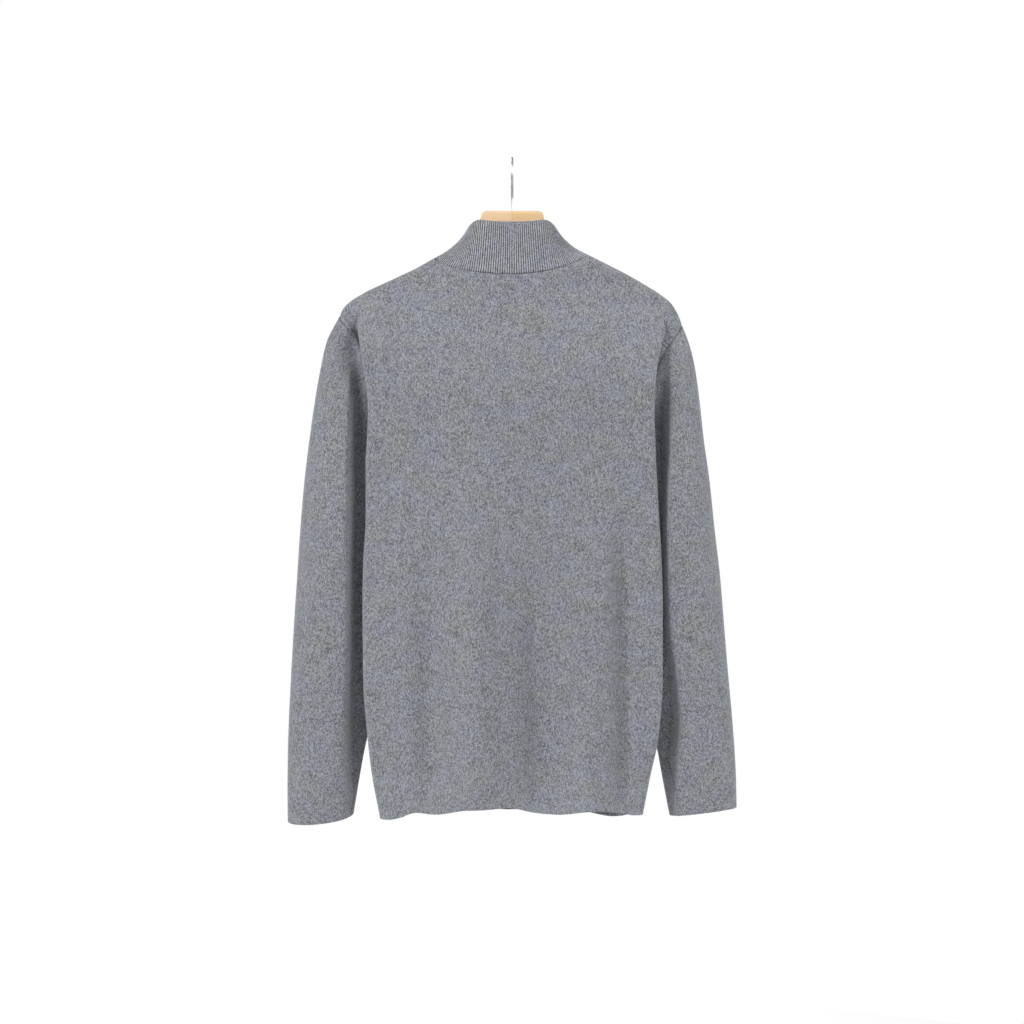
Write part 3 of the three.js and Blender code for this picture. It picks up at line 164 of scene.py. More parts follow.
SHOULDER = Table("x left right", [
    (96, -121.8, -118.8),
    (119, -135, -130.4),
    (134, -142.2, -138),
    (149, -149.2, -146),
    (163, -155.6, -154.2),
    (178, -162.5, -163.2),
    (190, -169, -171.5),
    (197, -173.2, -177),
    (203, -177.4, -185),
    (209, -183, -196),
    (212.5, -188, -206),
    (215, -194, -210),
])
SHOULDER_TIP = {"left": (215, -194), "right": (212.5, -206)}
ARMHOLE = Table("down left right left_depth right_depth", [
    (0, 215, 212.5, 0, 0),
    (0.008, 214.9, 212.1, 4, 4),
    (0.024, 214.4, 211.2, 6.6, 6.6),
    (0.05, 213, 209, 8.8, 8.8),
    (0.09, 206, 204, 12, 13),
    (0.14, 198, 197, 9, 17),
    (0.18, 193.5, 192.5, 8.5, 18.5),
    (0.23, 188.8, 187.4, 12, 20),
    (0.28, 185.1, 183.2, 17.5, 21.2),
    (0.4, 178, 174, 19, 22),
    (0.6, 168.5, 167, 20, 22),
    (0.8, 158.5, 158, 17, 18),
    (0.94, 152.5, 152.5, 9, 9),
    (1, 150, 150, 0, 0),
])
BODY = Table("z left right seam edge back front", [
    (-160, 196, 196, 150, 52, 56, 88),
    (-207, 193, 193, 150, 52, 57, 86),
    (-225, 187.5, 184, 150, 52, 57, 85),
    (-250, 182.5, 176, 150, 52, 58, 84),
    (-300, 177, 174.5, 150, 52, 59, 82),
    (-353, 178.5, 176.5, 150, 52, 60, 81),
    (-375, 180, 177, 150, 52, 60, 80),
    (-390, 180, 178, 142, 52, 60, 80),
    (-410, 180, 179, 138, 52, 62, 80),
    (-447, 180, 181, 134.5, 52, 64, 79),
    (-500, 183, 184, 133, 52, 67, 78),
    (-550, 184, 185.5, 133, 51, 69, 76),
    (-650, 183, 185.5, 131, 49, 70, 74),
    (-718, 178, 180.5, 128, 46, 69, 72),
    (-762, 173, 171.5, 124, 43, 66, 69),
    (-815, 163.5, 161.5, 118, 39, 57, 66),
])
HEM = {
    "back": Table("x rise", [
        (-165, -7.5), (-106, 1), (-57, -3), (-32, -1), (5, 6), (32, 4),
        (56, 3), (96, -3), (118, -1), (141, -8), (165, -13),
    ]),
    "front": Table("x rise", [
        (-165, 0), (-128, -7), (-92, -2), (-38, 2), (4, 0), (42, 2), (92, -2), (128, 1), (165, -2),
    ]),
}
SLEEVE = {
    "left": Table("ring outer_x outer_z inner_x inner_z depth wall floor seam", [
        (0, 215, -194, 150, -375, 24, 205, 24, 11),
        (1, 231.5, -228, 151, -377, 30, 205, 20.5, 11),
        (2, 239, -262, 152.2, -380, 35, 205, 19, 11),
        (3, 246, -302, 153, -385, 40, 205, 19, 11),
        (4, 252.5, -348, 153.5, -392.5, 44, 205, 21.5, 11),
        (5, 259, -402, 154, -402, 47, 205, 24.5, 11),
        (6, 264, -460, 156, -460, 48, 205, 24.5, 11),
        (7, 268, -520, 159.5, -520, 47, 205, 24.5, 11),
        (8, 272, -580, 163, -580, 45, 205, 24.5, 11),
        (9, 275.5, -640, 169, -640, 42, 206, 23.5, 10.9),
        (10, 278.5, -700, 177, -700, 38, 208, 15, 10.7),
        (11, 280, -750, 186.5, -748, 34, 209, 13, 10.3),
        (12, 280.3, -790, 193, -786, 30, 209, 12, 9.8),
        (13, 280, -825.5, 198, -817, 26, 209, 11, 9.4),
    ]),
    "right": Table("ring outer_x outer_z inner_x inner_z depth wall floor seam", [
        (0, 212.5, -206, 150, -375, 24, 200, 24, 11),
        (1, 221.5, -231, 151, -377, 30, 200, 15, 11),
        (2, 228.5, -262, 152.2, -380, 35, 200, 16.5, 11),
        (3, 234, -302, 153, -385, 40, 200, 18.5, 11),
        (4, 239, -348, 153.5, -392.5, 44, 199, 21.5, 11),
        (5, 246.5, -402, 154, -402, 47, 197, 27, 11),
        (6, 252.5, -460, 156, -460, 48, 195, 32, 10.9),
        (7, 259.5, -520, 159.5, -520, 47, 194, 34, 10.6),
        (8, 264.5, -580, 162, -580, 45, 196, 34, 10.2),
        (9, 269.5, -640, 168, -640, 42, 206, 29, 9.6),
        (10, 275, -700, 175, -700, 38, 211, 18, 9),
        (11, 278.5, -748, 184, -750, 34, 206, 13, 8.6),
        (12, 280, -782, 191, -788, 30, 206, 12, 8.3),
        (13, 280.5, -808.5, 197, -819, 26, 207, 11, 8.4),
    ]),
}
RIM = Table("rib x y z", [
    (0, 0, 18, -79),
    (10, 25, 17, -78),
    (16, 40.5, 12.5, -76),
    (20, 47.5, 5, -77.5),
    (33, 58.5, -24, -90),
    (47, 63.5, -56, -108),
    (60, 52, -84, -124),
    (72, 29, -98, -134),
    (84, 4.5, -102, -138),
])

# Long soft folds and, after them, creases too slight for the solids: where each runs, how far
# it drifts sideways, its width and its height proud of the cloth, the heights of its head and
# foot, and the lengths over which it grows from its head and fades to its foot.
FOLD_COLUMNS = "x drift width height head foot grow fade".split()
FOLDS = {
    "back": [dict(zip(FOLD_COLUMNS, row)) for row in (
        (99, 0, 17, -11, -450, -850, 200, 90),
        (44, 0, 22, 12, -330, -850, 160, 90),
        (-24, -22, 38, -24, -390, -850, 300, 90),
        (-98, 0, 22, 5, -380, -850, 200, 90),
        (-137, 0, 14, -12, -400, -840, 160, 90),
        (-27, 0, 8, -2.4, -490, -800, 90, 90),
        (-5, 3, 4, -1.6, -770, -815, 25, 25),
        (-114, 0, 18, -2.5, -240, -430, 70, 70),
        (136, -6, 11, 1.4, -400, -760, 90, 90),
        (76, -4, 9, 1.1, -600, -830, 70, 70),
    )],
    "front": [dict(zip(FOLD_COLUMNS, row)) for row in (
        (134, 3, 15, -8, -400, -850, 180, 90),
        (88, 4, 22, 5, -340, -860, 220, 90),
        (44, 2, 17, -7, -480, -850, 200, 90),
        (-40, -3, 19, -8, -440, -860, 220, 90),
        (-94, -4, 20, 6, -330, -860, 240, 90),
        (-138, 0, 14, -7, -450, -830, 160, 90),
        (24, 2, 7, 1.2, -560, -800, 70, 70),
        (-64, -3, 7, -1.3, -430, -720, 80, 80),
        (108, 4, 8, 1.2, -520, -810, 60, 60),
        (-112, -2, 7, 1.0, -560, -820, 60, 60),
        (-20, -2, 6, 1.0, -300, -560, 90, 90),
    )],
}


# ---------------------------------------------------------------- the surfaces of the garment

def side_name(side):
    return "left" if side > 0 else "right"


def face_name(face):
    return "back" if face > 0 else "front"


def fold_share(column):
    stop = clamp(column - FLAT_COLUMNS, 0, len(FOLD_STOPS) - 1)
    before = min(int(stop), len(FOLD_STOPS) - 2)
    return lerp(FOLD_STOPS[before], FOLD_STOPS[before + 1], stop - before)


def column_at_top(side, face, column):
    """Distance of a column from the centre at the neck and shoulder."""
    start = 0 if face > 0 else math.asin(TAPE_EDGE / NECK_HALF_WIDTH)
    first = 0 if face > 0 else 1
    if column < first:
        return lerp(ZIP_EDGE, TAPE_EDGE, column)
    if column <= NECK_COLUMNS:
        share = (column - first) / (NECK_COLUMNS - first)
        return NECK_HALF_WIDTH * math.sin(lerp(start, math.pi / 2, share))
    if column <= FLAT_COLUMNS:
        share = (column - NECK_COLUMNS) / (FLAT_COLUMNS - NECK_COLUMNS)
        return lerp(NECK_HALF_WIDTH, SHOULDER_FLAT, share)
    return lerp(SHOULDER_FLAT, SHOULDER_TIP[side_name(side)][0], fold_share(column))


def column_below(face, column, flat_width):
    """Distance of a column from the centre once the panel has its full width."""
    if face > 0:
        return flat_width * column / FLAT_COLUMNS
    if column < 1:
        return lerp(ZIP_EDGE, TAPE_EDGE, column)
    return lerp(TAPE_EDGE, flat_width, (column - 1) / (FLAT_COLUMNS - 1))


def neck_round(distance):
    return math.sqrt(max(0, 1 - (distance / NECK_HALF_WIDTH) ** 2))


def top_edge_height(side, face, distance):
    name = side_name(side)
    if distance <= NECK_HALF_WIDTH:
        neck = NECK[face_name(face)]
        shoulder = SHOULDER.values[name][0]
        return lerp(shoulder, neck["low"], neck_round(distance) ** neck[name])
    return SHOULDER.read(name, distance)


def hem_height(side, face, column):
    flat = BODY.read(side_name(side), HEM_HEIGHT["back"]) - FOLD_LEAD
    reach = column_below(face, min(column, FLAT_COLUMNS), flat)
    level = HEM_HEIGHT[face_name(face)] + HEM[face_name(face)].read("rise", side * reach)
    side_seam = (HEM_HEIGHT["back"] + HEM_HEIGHT["front"]) / 2
    return lerp(level, side_seam, ease(fold_share(column)))


def armpit_share(side, face):
    """How far down the side of the body the armpit lies, from the fold of the shoulder."""
    top = SHOULDER_TIP[side_name(side)][1] - SHOULDER_ROLL
    return (top - ARMPIT["z"]) / (top - hem_height(side, face, SEAM_COLUMN))


def fall(side, face, column, row):
    """The top of a column, how far a row lies below it, and how far the cloth has turned there."""
    top = top_edge_height(side, face, column_at_top(side, face, column))
    if row <= ROLL_ROWS:
        turn = math.pi / 2 * row / ROLL_ROWS
        return top, SHOULDER_ROLL * (1 - math.cos(turn)), turn
    own_side = ease(column / FLAT_COLUMNS)
    armpit = lerp(ARMPIT_SHARE, armpit_share(side, face), own_side)
    if row <= ARMPIT_ROW:
        share = armpit * (row - ROLL_ROWS) / ARMHOLE_ROWS
    else:
        share = lerp(armpit, 1, (row - ARMPIT_ROW) / SIDE_ROWS)
    hem = hem_height(side, face, column)
    return top, lerp(SHOULDER_ROLL, top - hem, share), math.pi / 2


ARMPIT_SHARE = (armpit_share(1, 1) + armpit_share(-1, 1)) / 2


def fold_relief(face, x, z):
    total = 0
    for fold in FOLDS[face_name(face)]:
        rise = ease((fold["head"] - z) / fold["grow"])
        strength = rise * ease((z - fold["foot"]) / fold["fade"])
        if strength > 0:
            away = (x - fold["x"] - fold["drift"] * rise) / fold["width"]
            total += fold["height"] * strength * math.exp(-away * away)
    return total


def panel_depth(side, face, distance, z, drop, turn):
    name = face_name(face)
    roll = SHOULDER_ROLL * math.sin(turn) if drop < SHOULDER_ROLL else SHOULDER_ROLL
    spread = 1 + NECK_SPREAD[name] * ease(drop / NECK_SOFTENING[0])
    hollow = neck_round(distance / spread) ** lerp(1, 2, ease(drop / NECK_SOFTENING[1]))
    base = math.hypot(NECK[name]["depth"] * hollow, roll)
    half_width = BODY.read(side_name(side), z)
    crowned = 1 - min(1, (distance / half_width) ** 2)
    crown = lerp(BODY.read("edge", z), BODY.read(name, z), crowned)
    outwards = ease((distance - NECK_HALF_WIDTH) / NECK_HALF_WIDTH)
    flare = lerp(FLARE["middle"], FLARE[side_name(side)], outwards)
    return lerp(base, crown + fold_relief(face, side * distance, z), ease(drop / flare))


def seam_point(side, z):
    name = side_name(side)
    tip = SHOULDER_TIP[name][1]
    if z >= ARMPIT["z"]:
        down = clamp((tip - z) / (tip - ARMPIT["z"]), 0, 1)
        return ARMHOLE.read(name, down), ARMHOLE.read(name + "_depth", down)
    return BODY.read("seam", z), 0


def fold_section(side, z, depth, share):
    """The side of the body seen from above: along the flat, round the fold and in to the seam."""
    half_width = BODY.read(side_name(side), z)
    seam_x, seam_y = seam_point(side, z)
    radius = min(FOLD_RADIUS, 0.35 * max(depth - seam_y, 1))
    middle_x, middle_y = half_width - radius, depth - radius
    if share <= LINE_END:
        return lerp(half_width - FOLD_LEAD, middle_x, share / LINE_END), depth
    pull_x = min(seam_x, half_width - 1)
    beyond = ease((seam_x - half_width + DIVE["width"]) / DIVE["width"])
    dive = DIVE[side_name(side)] * beyond * ease((DIVE["top"] - z) / DIVE["fall"])
    pull_y = seam_y + FOLD_PULL * (middle_y - seam_y) - dive
    reach = math.hypot(pull_x - middle_x, pull_y - middle_y)
    heading = math.atan2(pull_x - middle_x, pull_y - middle_y) % (2 * math.pi)
    bend = max(heading - math.acos(min(1, radius / reach)), FOLD_TURN)
    if share <= BEND_END:
        angle = bend * (share - LINE_END) / (BEND_END - LINE_END)
        return middle_x + radius * math.sin(angle), middle_y + radius * math.cos(angle)
    t = (share - BEND_END) / (1 - BEND_END)
    leave_x, leave_y = middle_x + radius * math.sin(bend), middle_y + radius * math.cos(bend)
    a, b, c = (1 - t) ** 2, 2 * t * (1 - t), t * t
    return a * leave_x + b * pull_x + c * seam_x, a * leave_y + b * pull_y + c * seam_y


def body_point(side, face, column, row):
    """A point on the face of the body: column 0 is the centre, row 0 the top edge."""
    name = side_name(side)
    top, drop, turn = fall(side, face, column, row)
    z = top - drop
    top_x = column_at_top(side, face, min(column, FLAT_COLUMNS))
    flat_width = BODY.read(name, min(z, TOP_WIDTH_HEIGHT)) - FOLD_LEAD
    low_x = column_below(face, min(column, FLAT_COLUMNS), flat_width)
    flat_x = lerp(top_x, low_x, ease(drop / FLARE["middle"]))
    flat_y = panel_depth(side, face, flat_x, z, drop, turn)
    if column <= FLAT_COLUMNS:
        return side * flat_x, face * flat_y, z
    share = fold_share(column)
    folded_x, folded_y = fold_section(side, z, flat_y, share)
    level_x, level_y = seam_point(side, SHOULDER_TIP[name][1] - drop)
    formed = ease((drop - FOLD_START) / FOLD_FALL)
    shift = (flat_x - (BODY.read(name, z) - FOLD_LEAD)) * (1 - share)
    x = lerp(lerp(flat_x, level_x, share), folded_x + shift, formed)
    y = lerp(lerp(flat_y, level_y, share), folded_y, formed)
    return side * x, face * y, z


def sleeve_ring(side, face, around, ring):
    table = SLEEVE[side_name(side)]
    at = clamp(ring, 0, LAST_RING)
    angle = math.pi * around / ARMPIT_ROW
    along = (1 + math.cos(angle)) / 2
    x = lerp(table.read("inner_x", at), table.read("outer_x", at), along)
    depth = table.read("depth", at) * math.sin(angle) ** SLEEVE_FULLNESS
    sunk = ease((table.read("wall", at) - x) / SLEEVE_WALL) * ease(at / WALL_START[side_name(side)])
    depth = lerp(depth, min(depth, table.read("floor", at) * math.sin(angle) ** 0.5), sunk)
    low = CUFF_DIP[side_name(side)] * ease((at - LAST_RING + 3) / 3)
    z = lerp(table.read("inner_z", at), table.read("outer_z", at), along)
    return side * x, face * depth, z - low * math.sin(angle) * max(face, 0)


def sleeve_point(side, around, ring):
    """A point on a sleeve. around is 0 on the outer line, positive at the back, 11 underarm."""
    face = -1 if around < 0 else 1
    reach = abs(around)
    point = sleeve_ring(side, face, reach, ring)
    fitted = 1 - ease(ring / SLEEVE_SETTLED)
    if fitted <= 0:
        return point
    armhole = body_point(side, face, SEAM_COLUMN, clamp(reach, 0, ARMPIT_ROW))
    start = sleeve_ring(side, face, reach, 0)
    shares = (fitted, 1 - ease(ring / DEPTH_SETTLED), fitted)
    return tuple(p + share * (a - s) for p, share, a, s in zip(point, shares, armhole, start))


NECK_SEAM = {
    (side, face): np.array([
        body_point(side, face, column, 0) for column in range(NECK_COLUMNS + 1)])
    for side in (1, -1) for face in (1, -1)
}


def along_neck(seam, share):
    lengths = np.linalg.norm(np.diff(seam, axis=0), axis=1)
    marks = np.concatenate([[0], np.cumsum(lengths)])
    return np.array([np.interp(share * marks[-1], marks, seam[:, axis]) for axis in range(3)])


def collar_point(signed_rib, height):
    """A point on the collar at a rib counted from the centre back, from seam to rim."""
    side = -1 if signed_rib < 0 else 1
    rib = min(abs(signed_rib), RIBS)
    if rib <= RIBS_BACK:
        base = along_neck(NECK_SEAM[side, 1], rib / RIBS_BACK)
        share = ease((rib - FLAT_RIBS) / (RIBS_BACK - FLAT_RIBS))
        hollow = lerp(COLLAR_HOLLOW["back"], COLLAR_HOLLOW["side"], share)
    else:
        share = (rib - RIBS_BACK) / RIBS_FRONT
        base = along_neck(NECK_SEAM[side, -1], 1 - share)
        hollow = lerp(COLLAR_HOLLOW["side"], COLLAR_HOLLOW["front"], ease(share))
    rim = np.array([side * RIM.read("x", rib), RIM.read("y", rib), RIM.read("z", rib)])
    middle = (base + rim) / 2
    inwards = np.array([-middle[0], COLLAR_CENTRE - middle[1], 0])
    inwards /= np.linalg.norm(inwards)
    return base + (rim - base) * height + inwards * hollow * COLLAR_BOW * height * (1 - height) ** 2


# ---------------------------------------------------------------- the line of the zip

ZIP_TOP = HEM_ROW + COLLAR_ROWS


def zip_surface(side, distance, station):
    """A point of the front beside the zip; stations count up from the hem."""
    if station > HEM_ROW:
        height = (station - HEM_ROW) / COLLAR_ROWS
        edge = collar_point(side * RIBS, height)
        outer = collar_point(side * (RIBS - TAPE_RIBS), height)
    else:
        edge = np.array(body_point(side, -1, 0, HEM_ROW - station))
        outer = np.array(body_point(side, -1, 1, HEM_ROW - station))
    return edge + (outer - edge) * (distance - ZIP_EDGE) / (TAPE_EDGE - ZIP_EDGE)


FRONT_STATIONS = 73                # stations up the straight of the front, below its rolled edge
COLLAR_STATIONS = 13


class ZipLine:
    """The line of the zip in the plane of symmetry, measured up from the hem."""

    def __init__(self):
        self.stations = [*np.linspace(0, HEM_ROW - ROLL_ROWS, FRONT_STATIONS),
                         *np.linspace(HEM_ROW, ZIP_TOP, COLLAR_STATIONS)]
        self.points = np.array([
            (zip_surface(1, ZIP_EDGE, s) + zip_surface(-1, ZIP_EDGE, s)) / 2 * (0, 1, 1)
            for s in self.stations
        ])
        rises = np.gradient(self.points, axis=0)
        normals = np.stack([0 * rises[:, 0], -rises[:, 2], rises[:, 1]], axis=1)
        self.normals = normals / np.linalg.norm(normals, axis=1)[:, None]
        steps = np.linalg.norm(np.diff(self.points, axis=0), axis=1)
        self.lengths = np.concatenate([[0], np.cumsum(steps)])
        self.total = self.lengths[-1]

    def at(self, length):
        def read(values):
            return np.array([np.interp(length, self.lengths, values[:, k]) for k in range(3)])
        normal = read(self.normals)
        return read(self.points), normal / np.linalg.norm(normal)


ZIP_LINE = ZipLine()


# ---------------------------------------------------------------- shader maths

def arithmetic(operation, reflected=False):
    """A Field's operator: adds a Math node for itself and another number or field."""
    def apply(self, other=0.0):
        first, second = (other, self) if reflected else (self, other)
        return self.shader.maths(operation, first, second)
    return apply


class Field:
    """A number that varies over a surface. Python's operators on it add Math nodes."""

    def __init__(self, shader, socket):
        self.shader = shader
        self.socket = socket

    __add__ = __radd__ = arithmetic("ADD")
    __sub__ = arithmetic("SUBTRACT")
    __rsub__ = arithmetic("SUBTRACT", reflected=True)
    __mul__ = __rmul__ = arithmetic("MULTIPLY")
    __truediv__ = arithmetic("DIVIDE")
    __abs__ = arithmetic("ABSOLUTE")


class Nodes:
    """The nodes of a material or of the world."""

    def __init__(self, tree):
        self.tree = tree

    def node(self, kind, settings, sockets):
        """Adds a node: its settings first, then the values or links of its sockets."""
        made = self.tree.nodes.new(kind)
        for name, value in settings.items():
            setattr(made, name, value)
        self.fill(made, sockets)
        return made

    def fill(self, node, sockets):
        for key, value in sockets.items():
            if isinstance(value, Field):
                value = value.socket
            if isinstance(value, bpy.types.NodeSocket):
                self.tree.links.new(value, node.inputs[key])
            else:
                node.inputs[key].default_value = value

    def maths(self, operation, first, second=0.0):
        made = self.node("ShaderNodeMath", {"operation": operation}, {0: first, 1: second})
        return Field(self, made.outputs[0])

    def bounded(self, value, low=0.0, high=1.0):
        return self.maths("MINIMUM", self.maths("MAXIMUM", value, low), high)


class Shader(Nodes):
    """A material and its nodes."""

    def __init__(self, name):
        self.material = bpy.data.materials.new(name)
        self.material.use_nodes = True
        self.surface = self.material.node_tree.nodes["Principled BSDF"]
        super().__init__(self.material.node_tree)

    def step(self, value, edge, softness):
        """Rises smoothly from 0 to 1 as a value passes an edge."""
        t = self.bounded((value - edge) / softness + 0.5)
        return t * t * (3 - 2 * t)

    def mix(self, share, first, second):
        settings = {"data_type": "RGBA"}
        return self.node("ShaderNodeMix", settings, {0: share, 6: first, 7: second}).outputs[2]

    def flat_cloth(self):
        """Distances over the flat cloth in millimetres, across and up it, and as one vector."""
        uv = self.node("ShaderNodeUVMap", {"uv_map": "cloth"}, {}).outputs[0]
        sockets = {0: uv, "Scale": 1 / MM}
        vector = self.node("ShaderNodeVectorMath", {"operation": "SCALE"}, sockets).outputs[0]
        apart = self.node("ShaderNodeSeparateXYZ", {}, {0: vector})
        return Field(self, apart.outputs[0]), Field(self, apart.outputs[1]), vector

    def scaled(self, vector, scales):
        settings = {"operation": "MULTIPLY"}
        return self.node("ShaderNodeVectorMath", settings, {0: vector, 1: scales}).outputs[0]

    def random(self, across, up):
        """A random tone for each whole step across and up."""
        vector = self.node("ShaderNodeCombineXYZ", {}, {
            0: self.maths("FLOOR", across), 1: self.maths("FLOOR", up)}).outputs[0]
        settings = {"noise_dimensions": "2D"}
        made = self.node("ShaderNodeTexWhiteNoise", settings, {"Vector": vector})
        return Field(self, made.outputs[0])

    def noise(self, vector, scales, detail, roughness=0.5):
        """Soft noise, with its own scale along each axis."""
        sockets = {"Vector": self.scaled(vector, scales), "Scale": 1.0,
                   "Detail": detail, "Roughness": roughness}
        return Field(self, self.node("ShaderNodeTexNoise", {}, sockets).outputs["Fac"])

    def object_coordinates(self):
        return self.node("ShaderNodeTexCoord", {}, {}).outputs["Object"]

    def bump(self, height, distance):
        sockets = {"Height": height, "Distance": distance, "Strength": 1.0}
        self.fill(self.surface, {"Normal": self.node("ShaderNodeBump", {}, sockets).outputs[0]})

    def finish(self, **sockets):
        names = {key: key.replace("_", " ").title().replace("Ior", "IOR") for key in sockets}
        self.fill(self.surface, {names[key]: value for key, value in sockets.items()})
        return self.material


def colour(rgb, factor=1.0):
    return (rgb[0] * factor, rgb[1] * factor, rgb[2] * factor, 1.0)


# Weights of the knit's tone: the lean of its stitches, random clouds, painted shade in the valleys
# between the stitches, painted light on the flatter hem band, and how far the tint swings warm or
# cool.
KNIT_TONE_AND_PAINTED_LIGHT = {"lean": 0.55, "clouds": 0.35, "stitch": 0.5, "lit_hem_band": 0.05, "warmth": 2.5}


def knit_material(name, looks, wale, course, relief, lit_hem_band=0.0, ribbed=0.0):
    """Fine marled knit: columns of stitches, the marl of the yarn and a little fuzz, with painted
    shade in the valleys between stitches and ribs and painted light over the hem band.
    """
    shader = Shader(name)
    across, up, flat = shader.flat_cloth()
    columns = across / wale
    leg = abs(shader.maths("FRACT", columns) - 0.5) * 2
    rows = up / course + leg * KNIT_TONE_AND_PAINTED_LIGHT["lean"]
    arch = shader.maths("SINE", leg * math.pi)
    loop = shader.maths("COSINE", rows * (2 * math.pi)) * 0.5 + 0.5
    stitch = arch * (0.5 + 0.5 * loop)
    yarn = shader.random(columns * 2, rows)
    flecks = shader.noise(flat, (1.25, 1.5, 1), 1.0, 0.7)
    clouds = shader.noise(flat, (0.05, 0.065, 1), 3.0, 0.6)
    tint = shader.noise(flat, (0.024, 0.032, 1), 1.5, 0.6)
    # The stitch term is painted shade: the valleys between the stitches are darker and their crowns
    # lighter, besides the stitches' bump.
    tone = (0.5 + (yarn - 0.5) * looks.marl + (flecks - 0.5) * looks.marl
            + (clouds - 0.5) * KNIT_TONE_AND_PAINTED_LIGHT["clouds"] + (stitch - 0.4) * KNIT_TONE_AND_PAINTED_LIGHT["stitch"])
    # Painted shade between the ribs: ribbed darkens the valleys between the ribs and lightens their
    # crowns.
    if ribbed:
        tone = tone + (shader.maths("COSINE", leg * (math.pi / 2)) - 0.68) * ribbed
    # Painted light: the doubled hem band lies flatter, so the knit is painted lighter over it.
    if lit_hem_band:
        tone = tone + (1 - shader.step(up, lit_hem_band, 2.0)) * KNIT_TONE_AND_PAINTED_LIGHT["lit_hem_band"]
    tone = shader.bounded(tone)
    warmth = shader.bounded((tint - 0.5) * KNIT_TONE_AND_PAINTED_LIGHT["warmth"] + 0.5)
    dark = shader.mix(warmth, colour(looks.knit_dark_warm), colour(looks.knit_dark_cool))
    light = shader.mix(warmth, colour(looks.knit_light_warm), colour(looks.knit_light_cool))
    shader.bump(stitch + flecks * 0.5, relief * MM)
    return shader.finish(
        base_color=shader.mix(tone, dark, light), roughness=0.92, specular_ior_level=0.18,
        sheen_weight=0.5, sheen_roughness=0.35, sheen_tint=(0.95, 0.96, 1.0, 1.0))


def tape_material(name, base):
    """Woven zip tape: a fine herringbone."""
    shader = Shader(name)
    across, up, flat = shader.flat_cloth()
    zigzag = abs(shader.maths("FRACT", across / 3.2) - 0.5) * 3.2
    weave = shader.maths("SINE", (up + zigzag) * (2 * math.pi / 0.9)) * 0.5 + 0.5
    wear = shader.noise(flat, (0.5, 0.5, 1), 3.0)
    tone = shader.bounded(weave * 0.6 + wear * 0.4)
    shader.bump(weave, 0.25 * MM)
    return shader.finish(
        base_color=shader.mix(tone, colour(base, 0.7), colour(base, 1.15)),
        roughness=0.85, specular_ior_level=0.25)


def metal_material(name, base, roughness, brushed=0.0):
    """Metal, plain or brushed along Z."""
    shader = Shader(name)
    place = shader.object_coordinates()
    lines = shader.noise(place, (2500, 2500, 120), 2.0)
    wear = shader.noise(place, (160, 160, 160), 3.0)
    shader.bump(lines, brushed * MM)
    return shader.finish(
        base_color=shader.mix(wear, colour(base, 0.9), colour(base, 1.08)),
        roughness=shader.bounded(roughness + (lines - 0.5) * 0.25 + (wear - 0.5) * 0.15, 0.05, 0.9),
        metallic=1.0)


def wood_material(name, base, offset):
    """Pale lacquered wood with its grain along the hanger's arm."""
    shader = Shader(name)
    place = shader.node("ShaderNodeVectorMath", {"operation": "ADD"},
                        {0: shader.object_coordinates(), 1: (0, offset, offset)}).outputs[0]
    grain = shader.noise(place, (9, 260, 150), 4.0, 0.6)
    pores = shader.noise(place, (45, 1400, 1100), 1.0)
    bands = shader.noise(place, (3, 30, 26), 2.0)
    flecks = shader.step(pores, 0.66, 0.08)
    tone = shader.bounded(grain * 0.55 + bands * 0.6 - 0.08 - flecks * 0.16)
    shader.bump(grain * 0.4 - flecks, 0.12 * MM)
    return shader.finish(
        base_color=shader.mix(tone, colour(base, 0.82), colour(base, 1.08)),
        roughness=shader.bounded(0.42 + (grain - 0.5) * 0.2), coat_weight=0.25, coat_roughness=0.3)


def floor_material(name, base):
    """Pale matt floor with a breath of unevenness."""
    shader = Shader(name)
    cloud = shader.noise(shader.object_coordinates(), (3, 3, 3), 3.0)
    return shader.finish(
        base_color=shader.mix(cloud, colour(base, 0.985), colour(base)), roughness=0.8)


# ---------------------------------------------------------------- making meshes

def new_object(name, vertices, faces):
    mesh = bpy.data.meshes.new(name)
    mesh.from_pydata([tuple(v) for v in vertices], [], [tuple(f) for f in faces])
    piece = bpy.data.objects.new(name, mesh)
    bpy.context.scene.collection.objects.link(piece)
    return piece


def select_only(piece):
    if bpy.context.object and bpy.context.object.mode != "OBJECT":
        bpy.ops.object.mode_set(mode="OBJECT")
    bpy.ops.object.select_all(action="DESELECT")
    piece.select_set(True)
    bpy.context.view_layer.objects.active = piece


def smooth(piece, degrees=50):
    select_only(piece)
    bpy.ops.object.shade_smooth_by_angle(angle=math.radians(degrees))


def dress(piece, material, body, nodes):
    """Gives a finished piece its material, its body and the nodes that it stands for."""
    piece.data.materials.clear()
    piece.data.materials.append(material)
    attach(piece, body)
    if nodes:
        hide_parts(*nodes)
    return piece


def rounding(distance, width):
    """How far a rounded edge has dropped at a distance from it, from 1 at the edge to 0."""
    away = np.clip(1 - distance / width, 0, 1)
    return 1 - np.sqrt(1 - away ** 2)


def grid_normals(points, outward, closed):
    if closed:
        across = np.roll(points, -1, axis=0) - np.roll(points, 1, axis=0)
    else:
        across = np.gradient(points, axis=0)
    down = np.gradient(points, axis=1)
    normals = np.cross(across, down) * outward
    return normals / np.maximum(np.linalg.norm(normals, axis=2), 1e-9)[..., None]


def lengths_along(points, axis, level=False):
    """Distances over the cloth along its columns or rows, or those on the level alone."""
    steps = np.linalg.norm(np.diff(points, axis=axis)[..., :2 if level else 3], axis=2)
    start = np.zeros_like(np.take(steps, [0], axis=axis))
    return np.concatenate([start, np.cumsum(steps, axis=axis)], axis=axis)


